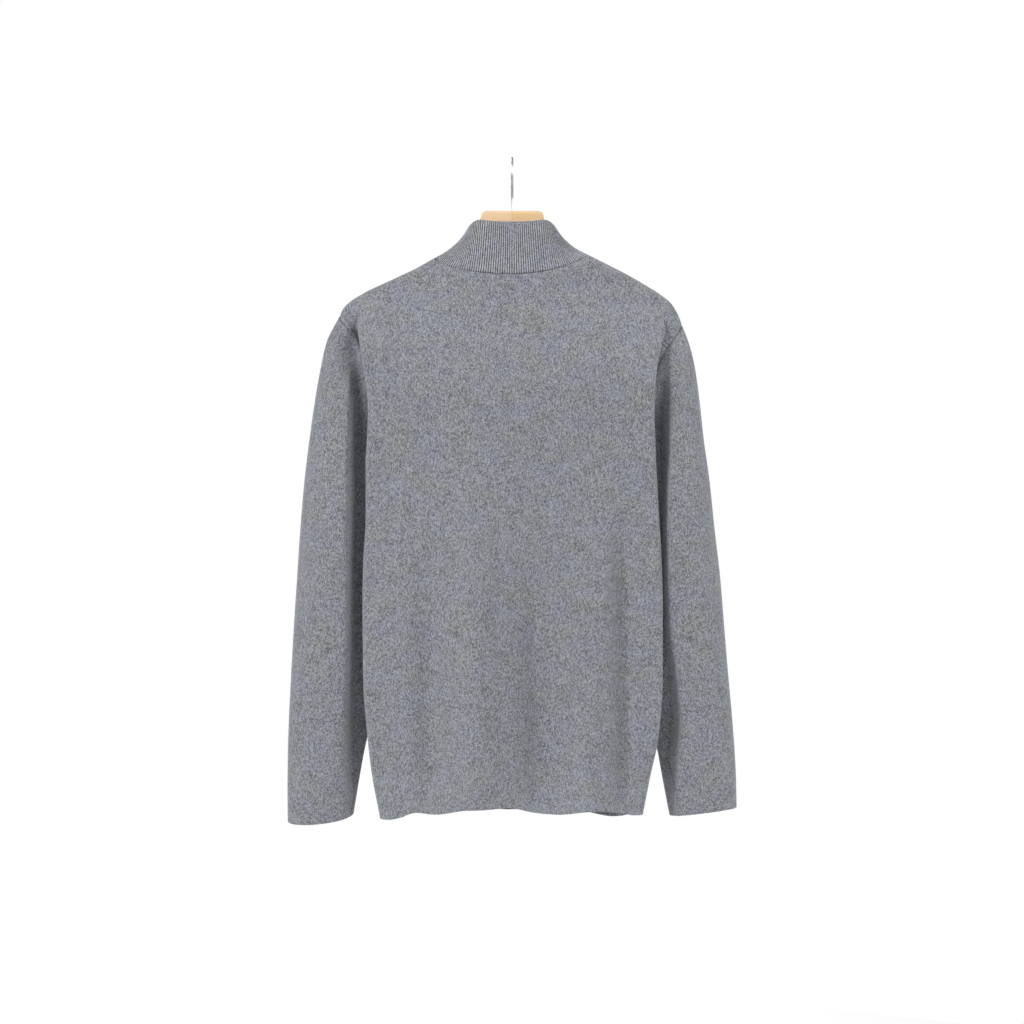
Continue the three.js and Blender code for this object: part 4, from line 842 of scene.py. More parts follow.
def reach_seam(inner, edge):
    """Carries the inside of a wall across its half of the gap at a seam."""
    line, next_line = {
        "first_column": (inner[0], inner[3]), "last_column": (inner[-1], inner[-4]),
        "first_row": (inner[:, 0], inner[:, 3]), "last_row": (inner[:, -1], inner[:, -4]),
    }[edge]
    away = line - next_line
    line += away / np.linalg.norm(away, axis=-1)[..., None] * SEAM_REACH


def cloth_wall(name, points, outward, edges, closed=False, relief=0.0, flat=None):
    """A wall of cloth from a grid of points on its face, in millimetres.

    edges names the grid's sides: a seam rounds on the face, a free edge rounds on both sides.
    relief is added to the face alone. flat gives the distances over the flat cloth.
    """
    normals = grid_normals(points, outward, closed)
    across, down = lengths_along(points, 0), lengths_along(points, 1)
    distances = {
        "first_column": across, "last_column": across[-1:] - across,
        "first_row": down, "last_row": down[:, -1:] - down,
    }
    face_drop = np.zeros(points.shape[:2])
    inner_lift = np.zeros(points.shape[:2])
    for edge, kind in edges.items():
        drop = rounding(distances[edge], EDGE_WIDTH[kind]) * EDGE_DEPTH[kind]
        face_drop = np.maximum(face_drop, drop)
        if kind == "free":
            inner_lift = np.maximum(inner_lift, drop)
    outer = points + normals * (relief - face_drop)[..., None]
    inner = points - normals * (CLOTH - inner_lift)[..., None]
    for edge, kind in edges.items():
        if kind == "seam":
            reach_seam(inner, edge)
    flat_across, flat_up = flat
    if closed:
        seam = np.linalg.norm(points[0] - points[-1], axis=1)
        flat_across = np.concatenate([flat_across, flat_across[-1:] + seam])
        flat_up = np.concatenate([flat_up, flat_up[:1]])
    return wall(name, outer, inner, flat_across, flat_up, closed)


def wall(name, outer, inner, across, up, closed=False):
    """A closed wall between two grids of points, with its map. A tube joins its columns' ends."""
    columns, rows = outer.shape[:2]
    count = columns * rows
    index = np.arange(count).reshape(columns, rows)
    if closed:
        index = np.concatenate([index, index[:1]])
    inside = index + count
    lines = [(index[:, :-1], index[:, 1:]), (inside[:, 1:], inside[:, :-1]),
             (inside[:, 0], index[:, 0]), (index[:, -1], inside[:, -1])]
    if not closed:
        lines += [(index[0], inside[0]), (inside[-1], index[-1])]
    faces = np.concatenate([
        np.stack([a[:-1], a[1:], b[1:], b[:-1]], axis=-1).reshape(-1, 4) for a, b in lines])
    vertices = np.concatenate([outer.reshape(-1, 3), inner.reshape(-1, 3)]) * MM
    piece = new_object(name, vertices, faces.tolist())
    add_cloth_map(piece, columns, rows, across * MM, up * MM, closed)
    make_faces_point_out(piece)
    smooth(piece)
    return piece


def add_cloth_map(piece, columns, rows, across, up, closed):
    """UV map in metres of flat cloth. A tube's map runs on past its first column."""
    uv_map = piece.data.uv_layers.new(name="cloth")
    corner_vertices = np.empty(len(piece.data.loops), dtype=int)
    piece.data.loops.foreach_get("vertex_index", corner_vertices)
    column, row = np.divmod(corner_vertices.reshape(-1, 4) % (columns * rows), rows)
    if closed:
        has_last = (column == columns - 1).any(axis=1)[:, None]
        column = np.where((column == 0) & has_last, columns, column)
    values = np.stack([across[column, row], up[column, row]], axis=-1)
    uv_map.data.foreach_set("uv", values.astype(np.float32).ravel())


def make_faces_point_out(piece):
    """Turns a closed mesh the right way round if its volume is negative."""
    mesh = bmesh.new()
    mesh.from_mesh(piece.data)
    if mesh.calc_volume(signed=True) < 0:
        bmesh.ops.reverse_faces(mesh, faces=mesh.faces)
        mesh.to_mesh(piece.data)
    mesh.free()


# ---------------------------------------------------------------- the knitted pieces

EDGE_WIDTH = {"seam": 2.4, "free": 1.5}
EDGE_DEPTH = {"seam": 1.3, "free": 0.85}
SEAM_REACH = 0.45
PANEL_EDGE = 17.0                 # length of a fold column and of a row beside a seam
ROLL_EDGE = 4.6
HEM_EDGE = 44.0
SLEEVE_EDGE = 34.0
CUFF_EDGE = 32.0
FRONT_EDGE = 10.5
EDGE_STEPS = [0.15, 0.4, 0.75, 1.2, 2.0]       # distances from a seam, in millimetres
FREE_STEPS = [3.2, 2.0, 1.2, 0.7, 0.3, 0]      # distances from a free edge
MARK = {"x": 97, "shift": 1.2, "left": -128.5, "right": -125.5, "pitch": 4.6,
        "half_width": 1.6, "half_height": 2.4, "depth": 0.45, "count": 5}
UNDERARM = {"follow": 5.5, "groove": 0.9, "groove_width": 0.05,
            "ridge": 0.45, "ridge_at": 0.2, "ridge_width": 0.11}


def steps_between(start, end, count):
    return list(np.linspace(start, end, count * round(end - start) + 1))


def panel_columns():
    """Columns of half a panel, from beside its centre or zip edge to its side seam."""
    flat = steps_between(0, FLAT_COLUMNS, 4)[1:]
    fold = steps_between(FLAT_COLUMNS, SEAM_COLUMN, 7)[1:-1]
    return flat + fold + [SEAM_COLUMN - step / PANEL_EDGE for step in EDGE_STEPS[::-1]]


def panel_rows():
    top = [step / ROLL_EDGE for step in EDGE_STEPS]
    roll = [row for row in steps_between(0, ROLL_ROWS, 5) if row > top[-1]]
    long = steps_between(ROLL_ROWS, HEM_ROW, 8)[1:-1]
    return top + roll + long + [HEM_ROW - step / HEM_EDGE for step in FREE_STEPS]


def marks_relief(points):
    """Small dents beside the neck where stitches were taken together."""
    relief = np.zeros(points.shape[:2])
    for side in (1, -1):
        for step in range(MARK["count"]):
            x = side * (MARK["x"] + MARK["shift"] * step)
            z = MARK[side_name(side)] - MARK["pitch"] * step
            away = (((points[..., 0] - x) / MARK["half_width"]) ** 2
                    + ((points[..., 2] - z) / MARK["half_height"]) ** 2)
            relief -= MARK["depth"] * np.exp(-away)
    return relief


def panel(name, face, places, first_edge, outward, centre):
    """A panel of the body. places gives each column's side and its place on that side."""
    points = np.array([
        [body_point(side, face, column, row) for row in panel_rows()] for side, column in places])
    across, up = lengths_along(points, 0, level=True), lengths_along(points, 1)
    flat = (across - across[centre], up[:, -1:] - up)
    edges = {"first_column": first_edge, "last_column": "seam",
             "first_row": "seam", "last_row": "free"}
    relief = marks_relief(points) if face > 0 else 0.0
    return cloth_wall(name, points, outward, edges, relief=relief, flat=flat)


def back_panel():
    half = panel_columns()
    places = [(-1, column) for column in half[::-1]] + [(1, column) for column in [0, *half]]
    return panel("knit_back", 1, places, "seam", 1, len(half))


def front_panel(side):
    columns = [step / FRONT_EDGE for step in FREE_STEPS[:0:-1]] + panel_columns()
    places = [(side, column) for column in columns]
    return panel(f"knit_front_{side_name(side)}", -1, places, "free", -side, 0)


def sleeve(side):
    """A sleeve, whose underarm seam turns to the back towards the cuff."""
    near = [0, 0.03, 0.06, 0.1, 0.16, 0.24, 0.34, 0.5]
    turns = sorted({round(step, 3) for step in steps_between(0, 2 * ARMPIT_ROW, 4)[:-1]
                    if abs(step - ARMPIT_ROW) > near[-1]}
                   | {ARMPIT_ROW + sign * step for step in near for sign in (1, -1)})
    front = [step for step in turns if step >= ARMPIT_ROW]
    loop = front + [step for step in turns if step < ARMPIT_ROW]
    rings = ([step / SLEEVE_EDGE for step in EDGE_STEPS] + steps_between(0, LAST_RING, 9)[1:-1]
             + [LAST_RING - step / CUFF_EDGE for step in FREE_STEPS])
    table = SLEEVE[side_name(side)]
    points, relief = [], []
    for place in loop:
        away = place - ARMPIT_ROW
        follow = 1 - ease(abs(away) / UNDERARM["follow"])
        line = []
        for ring in rings:
            turned = place + (table.read("seam", ring) - ARMPIT_ROW) * follow
            around = turned if turned <= ARMPIT_ROW else turned - 2 * ARMPIT_ROW
            line.append(sleeve_point(side, around, ring))
        points.append(line)
        groove = UNDERARM["groove"] * math.exp(-(away / UNDERARM["groove_width"]) ** 2)
        from_ridge = (away - UNDERARM["ridge_at"]) / UNDERARM["ridge_width"]
        ridge = UNDERARM["ridge"] * math.exp(-from_ridge ** 2)
        relief.append([ridge - groove] * len(rings))
    points = np.array(points)
    across, down = lengths_along(points, 0), lengths_along(points, 1)
    flat = (across - across[len(front)], down[:, -1:] - down)
    edges = {"first_row": "seam", "last_row": "free"}
    return cloth_wall(f"knit_sleeve_{side_name(side)}", points, -side, edges, closed=True,
                      relief=np.array(relief), flat=flat)


RIB_RELIEF = 0.8
RIB_STEPS = 6
RIB_WALE = 2.8


def collar():
    """One-by-one rib: a rounded ridge for each rib, with a narrow valley beside it."""
    ribs = np.linspace(-RIBS, RIBS, 2 * RIBS * RIB_STEPS + 1)
    heights = np.array([0.004, 0.01, 0.02, 0.035, *np.linspace(0.06, 0.94, 13),
                        0.965, 0.98, 0.99, 1.0])
    points = np.array([[collar_point(rib, height) for height in heights] for rib in ribs])
    profile = np.abs(np.sin(np.pi * ribs)) ** 0.75
    relief = RIB_RELIEF * profile[:, None] * np.ones(len(heights))
    up = lengths_along(points, 1)
    flat = (np.repeat(ribs[:, None] * RIB_WALE, len(heights), axis=1), up)
    edges = {"first_column": "free", "last_column": "free", "first_row": "seam", "last_row": "free"}
    return cloth_wall("rib_collar", points, -1, edges, relief=relief, flat=flat)


# ---------------------------------------------------------------- the zip

CHAIN_PROUD = 0.4
BOX = {"start": 1, "height": 10, "half_width": 3.6, "proud": 1.0}
COLLAR_ABOVE_SLIDER = 7
SLIDER_LENGTH = 12
BEHIND_CHAIN = SEAM_GAP - CLOTH - TAPE_GAP
CHAIN_DEPTH = CHAIN_PROUD - BEHIND_CHAIN
CHAIN_MIDDLE = (CHAIN_PROUD + BEHIND_CHAIN) / 2
SLIDER_BOTTOM = ZIP_LINE.total - COLLAR_ABOVE_SLIDER - SLIDER_LENGTH
TOOTH_PITCH = 1.42
TOOTH_HEIGHT = 1.1
TOOTH_CLEARANCE = 0.6


def zip_tape(side):
    across = [SEAM_GAP / 2, 1.2, 2.6, ZIP_EDGE, 6.6, 8.7, 10.8, 12.9, TAPE_EDGE]
    points = []
    for distance in across:
        line = []
        for centre, normal, station in zip(ZIP_LINE.points, ZIP_LINE.normals, ZIP_LINE.stations):
            place = zip_surface(side, max(distance, ZIP_EDGE), station)
            if distance < ZIP_EDGE:
                start = centre + (side * SEAM_GAP / 2, 0, 0)
                share = (distance - across[0]) / (ZIP_EDGE - across[0])
                place = start + (place - start) * share
            line.append(place - normal * (TAPE_GAP + CLOTH))
        points.append(line)
    points = np.array(points)
    normals = grid_normals(points, 1, False)
    if normals[0, 0, 1] > 0:
        normals = -normals
    return wall(f"tape_{side_name(side)}", points, points - normals * TAPE_THICKNESS,
                lengths_along(points, 0), lengths_along(points, 1))


def block_in_edit_mode(name, size, centre):
    bpy.ops.object.select_all(action="DESELECT")
    bpy.ops.mesh.primitive_cube_add(size=1)
    block = bpy.context.object
    block.name = name
    bpy.ops.object.mode_set(mode="EDIT")
    bpy.ops.mesh.select_all(action="SELECT")
    bpy.ops.transform.resize(value=[s * MM for s in size])
    bpy.ops.transform.translate(value=[c * MM for c in centre])
    return block


def modelled_block(name, size, centre, bevel, segments=2):
    """A box with rounded edges. Sizes in millimetres."""
    block = block_in_edit_mode(name, size, centre)
    bpy.ops.mesh.bevel(offset=bevel * MM, segments=segments, affect="EDGES")
    bpy.ops.object.mode_set(mode="OBJECT")
    return block


def repeated(name, pattern, places):
    """One mesh holding a copy of a small block at each place, a 4 x 4 matrix in millimetres."""
    corners = np.array([tuple(v.co) for v in pattern.data.vertices]) / MM
    corners = np.concatenate([corners, np.ones((len(corners), 1))], axis=1)
    faces = [tuple(polygon.vertices) for polygon in pattern.data.polygons]
    vertices, all_faces = [], []
    for place in places:
        offset = len(vertices)
        vertices.extend((corners @ np.array(place).T)[:, :3] * MM)
        all_faces.extend(tuple(v + offset for v in face) for face in faces)
    bpy.data.objects.remove(pattern)
    return new_object(name, vertices, all_faces)


def on_zip(length, x=0.0, forward=0.0, mirrored=1):
    """Matrix that puts a block on the zip: x across, y out of the cloth, z up the zip."""
    point, normal = ZIP_LINE.at(length)
    ahead, _ = ZIP_LINE.at(length + 0.5)
    behind, _ = ZIP_LINE.at(length - 0.5)
    upwards = (ahead - behind) / np.linalg.norm(ahead - behind)
    place = np.eye(4)
    place[:3, 0] = (mirrored, 0, 0)
    place[:3, 1] = normal
    place[:3, 2] = upwards
    place[:3, 3] = point + normal * forward + np.array([x, 0, 0])
    return place


def joined(name, first, *others):
    """Joins pieces into the first, and names it."""
    select_only(first)
    for other in others:
        other.select_set(True)
    bpy.ops.object.join()
    first.name = first.data.name = name
    return first


def teeth_from(name, size_x, centre_x, start, count):
    """Teeth turn about on the two tapes, upwards from a length along the zip."""
    size, centre = (size_x, CHAIN_DEPTH, TOOTH_HEIGHT), (centre_x, CHAIN_MIDDLE, 0)
    tooth = modelled_block(name + "_one", size, centre, 0.3, 1)
    return repeated(name, tooth, [
        on_zip(start + TOOTH_PITCH * k, mirrored=1 if k % 2 else -1) for k in range(count)])


def zip_teeth():
    """Metal teeth, from the box to the slider."""
    start = BOX["start"] + BOX["height"] + SEAM_GAP + TOOTH_CLEARANCE
    count = int((SLIDER_BOTTOM - SEAM_GAP - TOOTH_CLEARANCE - start) / TOOTH_PITCH) + 1
    return clean(teeth_from("zip_teeth", 4.1, 0.95, start, count))


def open_teeth():
    """Teeth above the slider, where the two tapes part, under a stop on each."""
    top = SLIDER_BOTTOM + SLIDER_LENGTH
    teeth = teeth_from("open_teeth", 2.3, 2.0, top + 0.9, 2)
    stop = modelled_block("stop", (2.6, CHAIN_DEPTH + 0.4, 2.6), (2.15, CHAIN_MIDDLE, 0), 0.5, 2)
    stops = repeated("stops", stop, [on_zip(top + 4.6, mirrored=side) for side in (1, -1)])
    return clean(joined("zip_top_stops", teeth, stops))


def zip_box():
    """Box and pin at the foot of the zip."""
    depth = BOX["proud"] - BEHIND_CHAIN
    middle = (BOX["proud"] + BEHIND_CHAIN) / 2
    height = BOX["height"]
    size = (2 * BOX["half_width"], depth, height * 0.66)
    block = modelled_block("box", size, (0, middle, -height * 0.17), 0.7, 3)
    size = (2.2, depth * 0.7, height * 0.42)
    pin = modelled_block("pin", size, (-1.9, middle, height * 0.29), 0.5, 2)
    pattern = joined("box_and_pin", block, pin)
    return clean(repeated("zip_foot_box", pattern, [on_zip(BOX["start"] + height / 2)]))


def clean(piece):
    """Merges doubles and turns the faces of a closed mesh outwards."""
    select_only(piece)
    bpy.ops.object.mode_set(mode="EDIT")
    bpy.ops.mesh.select_all(action="SELECT")
    bpy.ops.mesh.remove_doubles(threshold=1e-6)
    bpy.ops.mesh.normals_make_consistent(inside=False)
    bpy.ops.object.mode_set(mode="OBJECT")
    smooth(piece, 35)
    return piece


SLIDER = {
    "stem_half_width": 3.2, "plate_half_width": 4.9, "plate_back": 1.2, "plate_front": 2.4,
    "ear_inside": 2.4, "ear_width": 1.2, "ear_length": 4, "ear_top": 5.4, "pivot_down": 4.5,
    "taper": 0.26, "taper_from": 0.35, "ear_sunk": 0.6,
}
PULL = {"length": 26, "half_width": 3, "neck_half_width": 1.9, "neck_length": 5, "shoulder": 2,
        "thickness": 1.4, "barrel_radius": 1.3, "rim": 0.8, "panel_slope": 0.25,
        "panel_depth": 0.25, "edge": 0.18, "edge_angle": 50}


def slider_matrix():
    """Frame of the slider: x across, y out of the cloth, z down the zip from the slider's top."""
    bottom, _ = ZIP_LINE.at(SLIDER_BOTTOM)
    top, _ = ZIP_LINE.at(SLIDER_BOTTOM + SLIDER_LENGTH)
    down = Vector(bottom - top).normalized()
    outwards = -Vector((1, 0, 0)).cross(down)
    matrix = Matrix((Vector((1, 0, 0)), outwards, down)).transposed().to_4x4()
    matrix.translation = Vector(top)
    return matrix


def put(piece, matrix):
    """Places a piece modelled in millimetre-sized local coordinates, and applies its place."""
    place = matrix.copy()
    place.translation = matrix.translation * MM
    piece.data.transform(place)
    piece.data.update()


def slider():
    """Slider body: two plates with a waist between them, and two ears for the pull."""
    half, front, back = SLIDER["plate_half_width"], SLIDER["plate_front"], SLIDER["plate_back"]
    length = SLIDER_LENGTH
    plate = modelled_block("plate", (2 * half, front - back, length),
                           (0, (front + back) / 2, length / 2), 0.45, 2)
    select_only(plate)
    bpy.ops.object.mode_set(mode="EDIT")
    mesh = bmesh.from_edit_mesh(plate.data)
    for vertex in mesh.verts:
        down = vertex.co.z / (length * MM)
        start = SLIDER["taper_from"]
        vertex.co.x *= 1 - SLIDER["taper"] * ease((down - start) / (1 - start))
    bmesh.update_edit_mesh(plate.data)
    bpy.ops.object.mode_set(mode="OBJECT")
    size = (2 * SLIDER["stem_half_width"], back - BEHIND_CHAIN, length - 0.6)
    parts = [modelled_block("stem", size, (0, (back + BEHIND_CHAIN) / 2 + 0.1, length / 2), 0.5)]
    for side in (1, -1):
        centre = side * (SLIDER["ear_inside"] + SLIDER["ear_width"] / 2)
        rise = SLIDER["ear_top"] - front + SLIDER["ear_sunk"]
        size = (SLIDER["ear_width"], rise, SLIDER["ear_length"])
        place = (centre, front - SLIDER["ear_sunk"] + rise / 2, SLIDER["pivot_down"])
        parts.append(modelled_block(f"ear_{side}", size, place, 0.5, 3))
    joined("slider_body", plate, *parts)
    put(plate, slider_matrix())
    return clean(plate)


def pull_tab():
    """Pull tab: a flat plate with a rounded end and a sunk panel, hanging from its barrel."""
    pivot = slider_matrix() @ Vector((0, SLIDER["plate_front"] + SEAM_GAP + PULL["barrel_radius"],
                                      SLIDER["pivot_down"]))
    half, length = PULL["half_width"], PULL["length"]
    top = -PULL["neck_length"] - PULL["shoulder"]
    plate = block_in_edit_mode("pull_tab_plate", (2 * half, PULL["thickness"], length + top),
                               (0, 0, (top - length) / 2))
    select_where(plate, "edges", lambda edge: all(v.co.z < -(length - 1) * MM for v in edge.verts)
                 and abs(edge.verts[0].co.x - edge.verts[1].co.x) < 1e-6)
    bpy.ops.mesh.bevel(offset=(half - 0.3) * MM, segments=6, affect="EDGES")
    select_where(plate, "faces", lambda face: face.normal.z > 0.9)
    extrude((0, 0, PULL["shoulder"]))
    bpy.ops.transform.resize(value=(PULL["neck_half_width"] / half, 1, 1))
    extrude((0, 0, PULL["neck_length"]))
    select_where(plate, "faces", lambda face: abs(face.normal.y) > 0.9
                 and face.calc_center_median().z < top * MM)
    bpy.ops.mesh.inset(thickness=PULL["rim"] * MM, depth=0)
    bpy.ops.mesh.inset(thickness=PULL["panel_slope"] * MM, depth=-PULL["panel_depth"] * MM)
    bpy.ops.object.mode_set(mode="OBJECT")
    bevel = plate.modifiers.new("edges", "BEVEL")
    bevel.width = PULL["edge"] * MM
    bevel.segments = 2
    bevel.limit_method = "ANGLE"
    bevel.angle_limit = math.radians(PULL["edge_angle"])
    select_only(plate)
    bpy.ops.object.modifier_apply(modifier="edges")
    bpy.ops.object.select_all(action="DESELECT")
    bpy.ops.mesh.primitive_cylinder_add(vertices=24, radius=PULL["barrel_radius"] * MM,
                                        depth=2 * (SLIDER["ear_inside"] - SEAM_GAP) * MM,
                                        rotation=(0, math.pi / 2, 0))
    barrel = bpy.context.object
    bpy.ops.object.transform_apply(location=True, rotation=True, scale=True)
    bpy.ops.object.mode_set(mode="EDIT")
    bpy.ops.mesh.select_all(action="SELECT")
    bpy.ops.mesh.bevel(offset=0.15 * MM, segments=1, affect="EDGES")
    bpy.ops.object.mode_set(mode="OBJECT")
    joined("pull_tab_plate", plate, barrel)
    put(plate, Matrix.Translation(pivot))
    return clean(plate)


def extrude(move):
    """Extrudes the selected face by a move in millimetres."""
    value = [float(step) * MM for step in move]
    bpy.ops.mesh.extrude_region_move(TRANSFORM_OT_translate={"value": value})


def select_where(piece, kind, test):
    """Selects the faces or edges of the piece being edited that pass a test, and nothing else."""
    mesh = bmesh.from_edit_mesh(piece.data)
    for item in list(mesh.verts) + list(mesh.edges) + list(mesh.faces):
        item.select = False
    for item in getattr(mesh, kind):
        if test(item):
            item.select_set(True)
    bmesh.update_edit_mesh(piece.data)


SEWING = {"size": (0.55, 0.4, 2.3), "round": 0.17, "start": 4.0, "pitch": 3.1,
          "from_edge": 5.2, "proud": 0.02, "below_top": 6}


def zip_stitches(side):
    """Line of sewing that holds a front's straight edge to its tape."""
    stitch = modelled_block(f"stitch_{side}", SEWING["size"], (0, 0, 0), SEWING["round"], 1)
    places = []
    length = SEWING["start"]
    top = ZIP_LINE.lengths[FRONT_STATIONS - 1] - SEWING["below_top"]
    while length < top:
        _, normal = ZIP_LINE.at(length)
        place = on_zip(length)
        station = np.interp(length, ZIP_LINE.lengths, ZIP_LINE.stations)
        surface = zip_surface(side, ZIP_EDGE + SEWING["from_edge"], station)
        place[:3, 3] = surface + normal * SEWING["proud"]
        places.append(place)
        length += SEWING["pitch"]
    return clean(repeated(f"zip_sewing_{side_name(side)}", stitch, places))


# ---------------------------------------------------------------- the hanger

HANGER_MIDDLE = Table("x top", [
    (0, -64), (32.5, -64), (36.6, -65.2), (39.2, -68.8), (40.2, -74), (41, -87), (44, -98),
    (50, -111), (66, -121.5), (82, -128), (96, -132.5), (119, -137),
])
HANGER_BOTTOM = Table("x z", [
    (0, -136), (30, -138), (66, -148), (96, -160), (145, -182), (178, -196), (193, -199),
])
HANGER = {"half_thickness": 6.2, "seat": 2.6, "thin_from": 140, "thin_over": 50, "thinning": 0.3,
          "end": 190, "tip": 4.5, "corner": 4.2, "corner_share": 0.92, "tip_height": 0.12,
          "tip_depth": 0.35, "sides": 40, "bar": 20, "neck_end": 119}


def hanger_top(distance):
    if distance < HANGER["neck_end"]:
        return HANGER_MIDDLE.read("top", distance)
    return min(top_edge_height(side, 1, distance) for side in (1, -1)) - HANGER["seat"]


def hanger_half(side):
    """Half of the hanger: a round bar cut into slices, each then drawn out to its own section."""
    end, tip = HANGER["end"], HANGER["tip"]
    cuts = [0.15, 20, 31, 32.5, 34, 35.3, 36.6, 37.6, 38.5, 39.2, 39.8, 40.2, 41, 44,
            50, 58, 66, 74, 82, 96, 119, 134, 149, 163, 178, 184, end]
    cuts += [end + tip * math.sin(math.radians(angle)) for angle in (15, 30, 45, 60, 72, 82, 90)]
    sides = HANGER["sides"]
    bpy.ops.object.select_all(action="DESELECT")
    bpy.ops.mesh.primitive_cylinder_add(
        vertices=sides, radius=HANGER["bar"] * MM, depth=(cuts[-1] - cuts[0]) * MM,
        rotation=(0, math.pi / 2, 0), location=((cuts[-1] + cuts[0]) / 2 * MM, 0, 0))
    half = bpy.context.object
    bpy.ops.object.transform_apply(location=True, rotation=True, scale=True)
    bpy.ops.object.mode_set(mode="EDIT")
    for cut in cuts[1:-1]:
        bpy.ops.mesh.select_all(action="SELECT")
        bpy.ops.mesh.bisect(plane_co=(cut * MM, 0, 0), plane_no=(1, 0, 0))
    mesh = bmesh.from_edit_mesh(half.data)
    corner_steps = sides // 4
    for vertex in mesh.verts:
        distance = vertex.co.x / MM
        along = min(distance, end)
        top, bottom = hanger_top(along), HANGER_BOTTOM.read("z", along)
        past = clamp((distance - end) / tip, 0, 1)
        narrow = max(math.sqrt(1 - past ** 2), HANGER["tip_height"])
        thin = 1 - HANGER["thinning"] * ease((distance - HANGER["thin_from"]) / HANGER["thin_over"])
        depth = HANGER["half_thickness"] * thin * lerp(HANGER["tip_depth"], 1, narrow)
        height = (top - bottom) / 2 * narrow
        corner = min(HANGER["corner"], min(depth, height) * HANGER["corner_share"])
        turn = math.atan2(vertex.co.z, vertex.co.y) % (2 * math.pi)
        step = round(turn / (2 * math.pi) * sides - 0.5) % sides
        quarter, part = divmod(step, corner_steps)
        angle = math.pi / 2 * (quarter + part / (corner_steps - 1))
        across, upwards = ((1, 1), (-1, 1), (-1, -1), (1, -1))[quarter]
        vertex.co.y = (across * (depth - corner) + corner * math.cos(angle)) * MM
        middle = (top + bottom) / 2
        vertex.co.z = (middle + upwards * (height - corner) + corner * math.sin(angle)) * MM
        vertex.co.x = side * distance * MM
    bmesh.update_edit_mesh(half.data)
    bpy.ops.object.mode_set(mode="OBJECT")
    clean(half)
    bore = bore_cutter()
    cut = half.modifiers.new("bore", "BOOLEAN")
    cut.operation = "DIFFERENCE"
    cut.solver = "EXACT"
    cut.object = bore
    select_only(half)
    bpy.ops.object.modifier_apply(modifier="bore")
    bpy.data.objects.remove(bore)
    half.name = half.data.name = f"hanger_wood_{side_name(side)}"
    smooth(half, 40)
    return half


HOOK = {"wire": 1.75, "inner": 18, "bore": 2.1, "bore_depth": 26, "stem_top": -50, "reach": 11,
        "arc_start": -0.45, "arc_end": 3.55, "straight": (-64.0, -58.0)}
HOOK_END = ((0.9, 0.86), (0.55, 0.6), (0.25, 0.3))    # steps onward and shares of the width


def bore_cutter():
    bpy.ops.object.select_all(action="DESELECT")
    depth = HOOK["bore_depth"]
    top = HANGER_MIDDLE.values["top"][0]
    bpy.ops.mesh.primitive_cylinder_add(
        vertices=24, radius=HOOK["bore"] * MM, depth=(depth + 2) * MM,
        location=(0, 0, (top - depth / 2 + 1) * MM))
    bpy.ops.object.transform_apply(location=True, rotation=True, scale=True)
    return bpy.context.object


def hook_wire():
    """Steel wire: a stem, a swan neck and an open crown, with a rounded end."""
    radius = HOOK["inner"] + HOOK["wire"]
    centre = -HOOK["inner"]
    foot = HANGER_MIDDLE.values["top"][0] - HOOK["bore_depth"] + 2 * SEAM_GAP
    start = HOOK["arc_start"]
    bend = [np.array([0.0, 0.0, HOOK["stem_top"] + rise]) for rise in (0, HOOK["reach"])]
    arrival = np.array([0, radius * math.cos(start), centre + radius * math.sin(start)])
    heading = np.array([0, -math.sin(start), math.cos(start)])
    bend += [arrival - heading * HOOK["reach"], arrival]
    route = [np.array([0, 0, height]) for height in (foot, foot + 2.0, *HOOK["straight"])]
    for t in np.linspace(0, 1, 14)[:-1]:
        weights = [(1 - t) ** 3, 3 * t * (1 - t) ** 2, 3 * t * t * (1 - t), t ** 3]
        route.append(sum(w * p for w, p in zip(weights, bend)))
    for angle in np.linspace(start, HOOK["arc_end"], 56):
        route.append(np.array([0, radius * math.cos(angle), centre + radius * math.sin(angle)]))
    bpy.ops.object.select_all(action="DESELECT")
    bpy.ops.mesh.primitive_circle_add(vertices=20, radius=HOOK["wire"] * MM, fill_type="NGON",
                                      location=(0, 0, 0))
    wire = bpy.context.object
    bpy.ops.object.mode_set(mode="EDIT")
    bpy.ops.mesh.select_all(action="SELECT")
    bpy.ops.transform.translate(value=[c * MM for c in route[0]])
    tilt = 0.0
    for before, here, after in zip(route, route[1:], route[2:] + [None]):
        along = here - before if after is None else after - before
        wanted = math.atan2(-along[1], along[2])
        extrude(here - before)
        turn = math.remainder(wanted - tilt, 2 * math.pi)
        turn_selection(wire, turn, here * MM)
        tilt = wanted
    along = (route[-1] - route[-2]) / np.linalg.norm(route[-1] - route[-2])
    for step, share in HOOK_END:
        extrude(along * step)
        scale_selection(wire, share)
    bpy.ops.object.mode_set(mode="OBJECT")
    wire.name = wire.data.name = "hook_wire"
    return clean(wire)


def turn_selection(piece, angle, pivot):
    """Turns the selected face about a line along X through a point."""
    mesh = bmesh.from_edit_mesh(piece.data)
    chosen = [vertex for vertex in mesh.verts if vertex.select]
    bmesh.ops.rotate(mesh, cent=Vector(pivot), matrix=Matrix.Rotation(angle, 3, "X"), verts=chosen)
    bmesh.update_edit_mesh(piece.data)


def scale_selection(piece, share):
    """Draws the selected face in towards its middle."""
    mesh = bmesh.from_edit_mesh(piece.data)
    chosen = [vertex for vertex in mesh.verts if vertex.select]
    middle = sum((vertex.co for vertex in chosen), Vector()) / len(chosen)
    for vertex in chosen:
        vertex.co = middle.lerp(vertex.co, share)
    bmesh.update_edit_mesh(piece.data)


# ---------------------------------------------------------------- settings a user would change

def tint(label, description, *shade):
    return FloatVectorProperty(name=label, description=description, default=painted(*shade),
                               subtype="COLOR", size=3, min=0.0, max=1.0)


def amount(label, description, default, **limits):
    return FloatProperty(name=label, description=description, default=default, **limits)


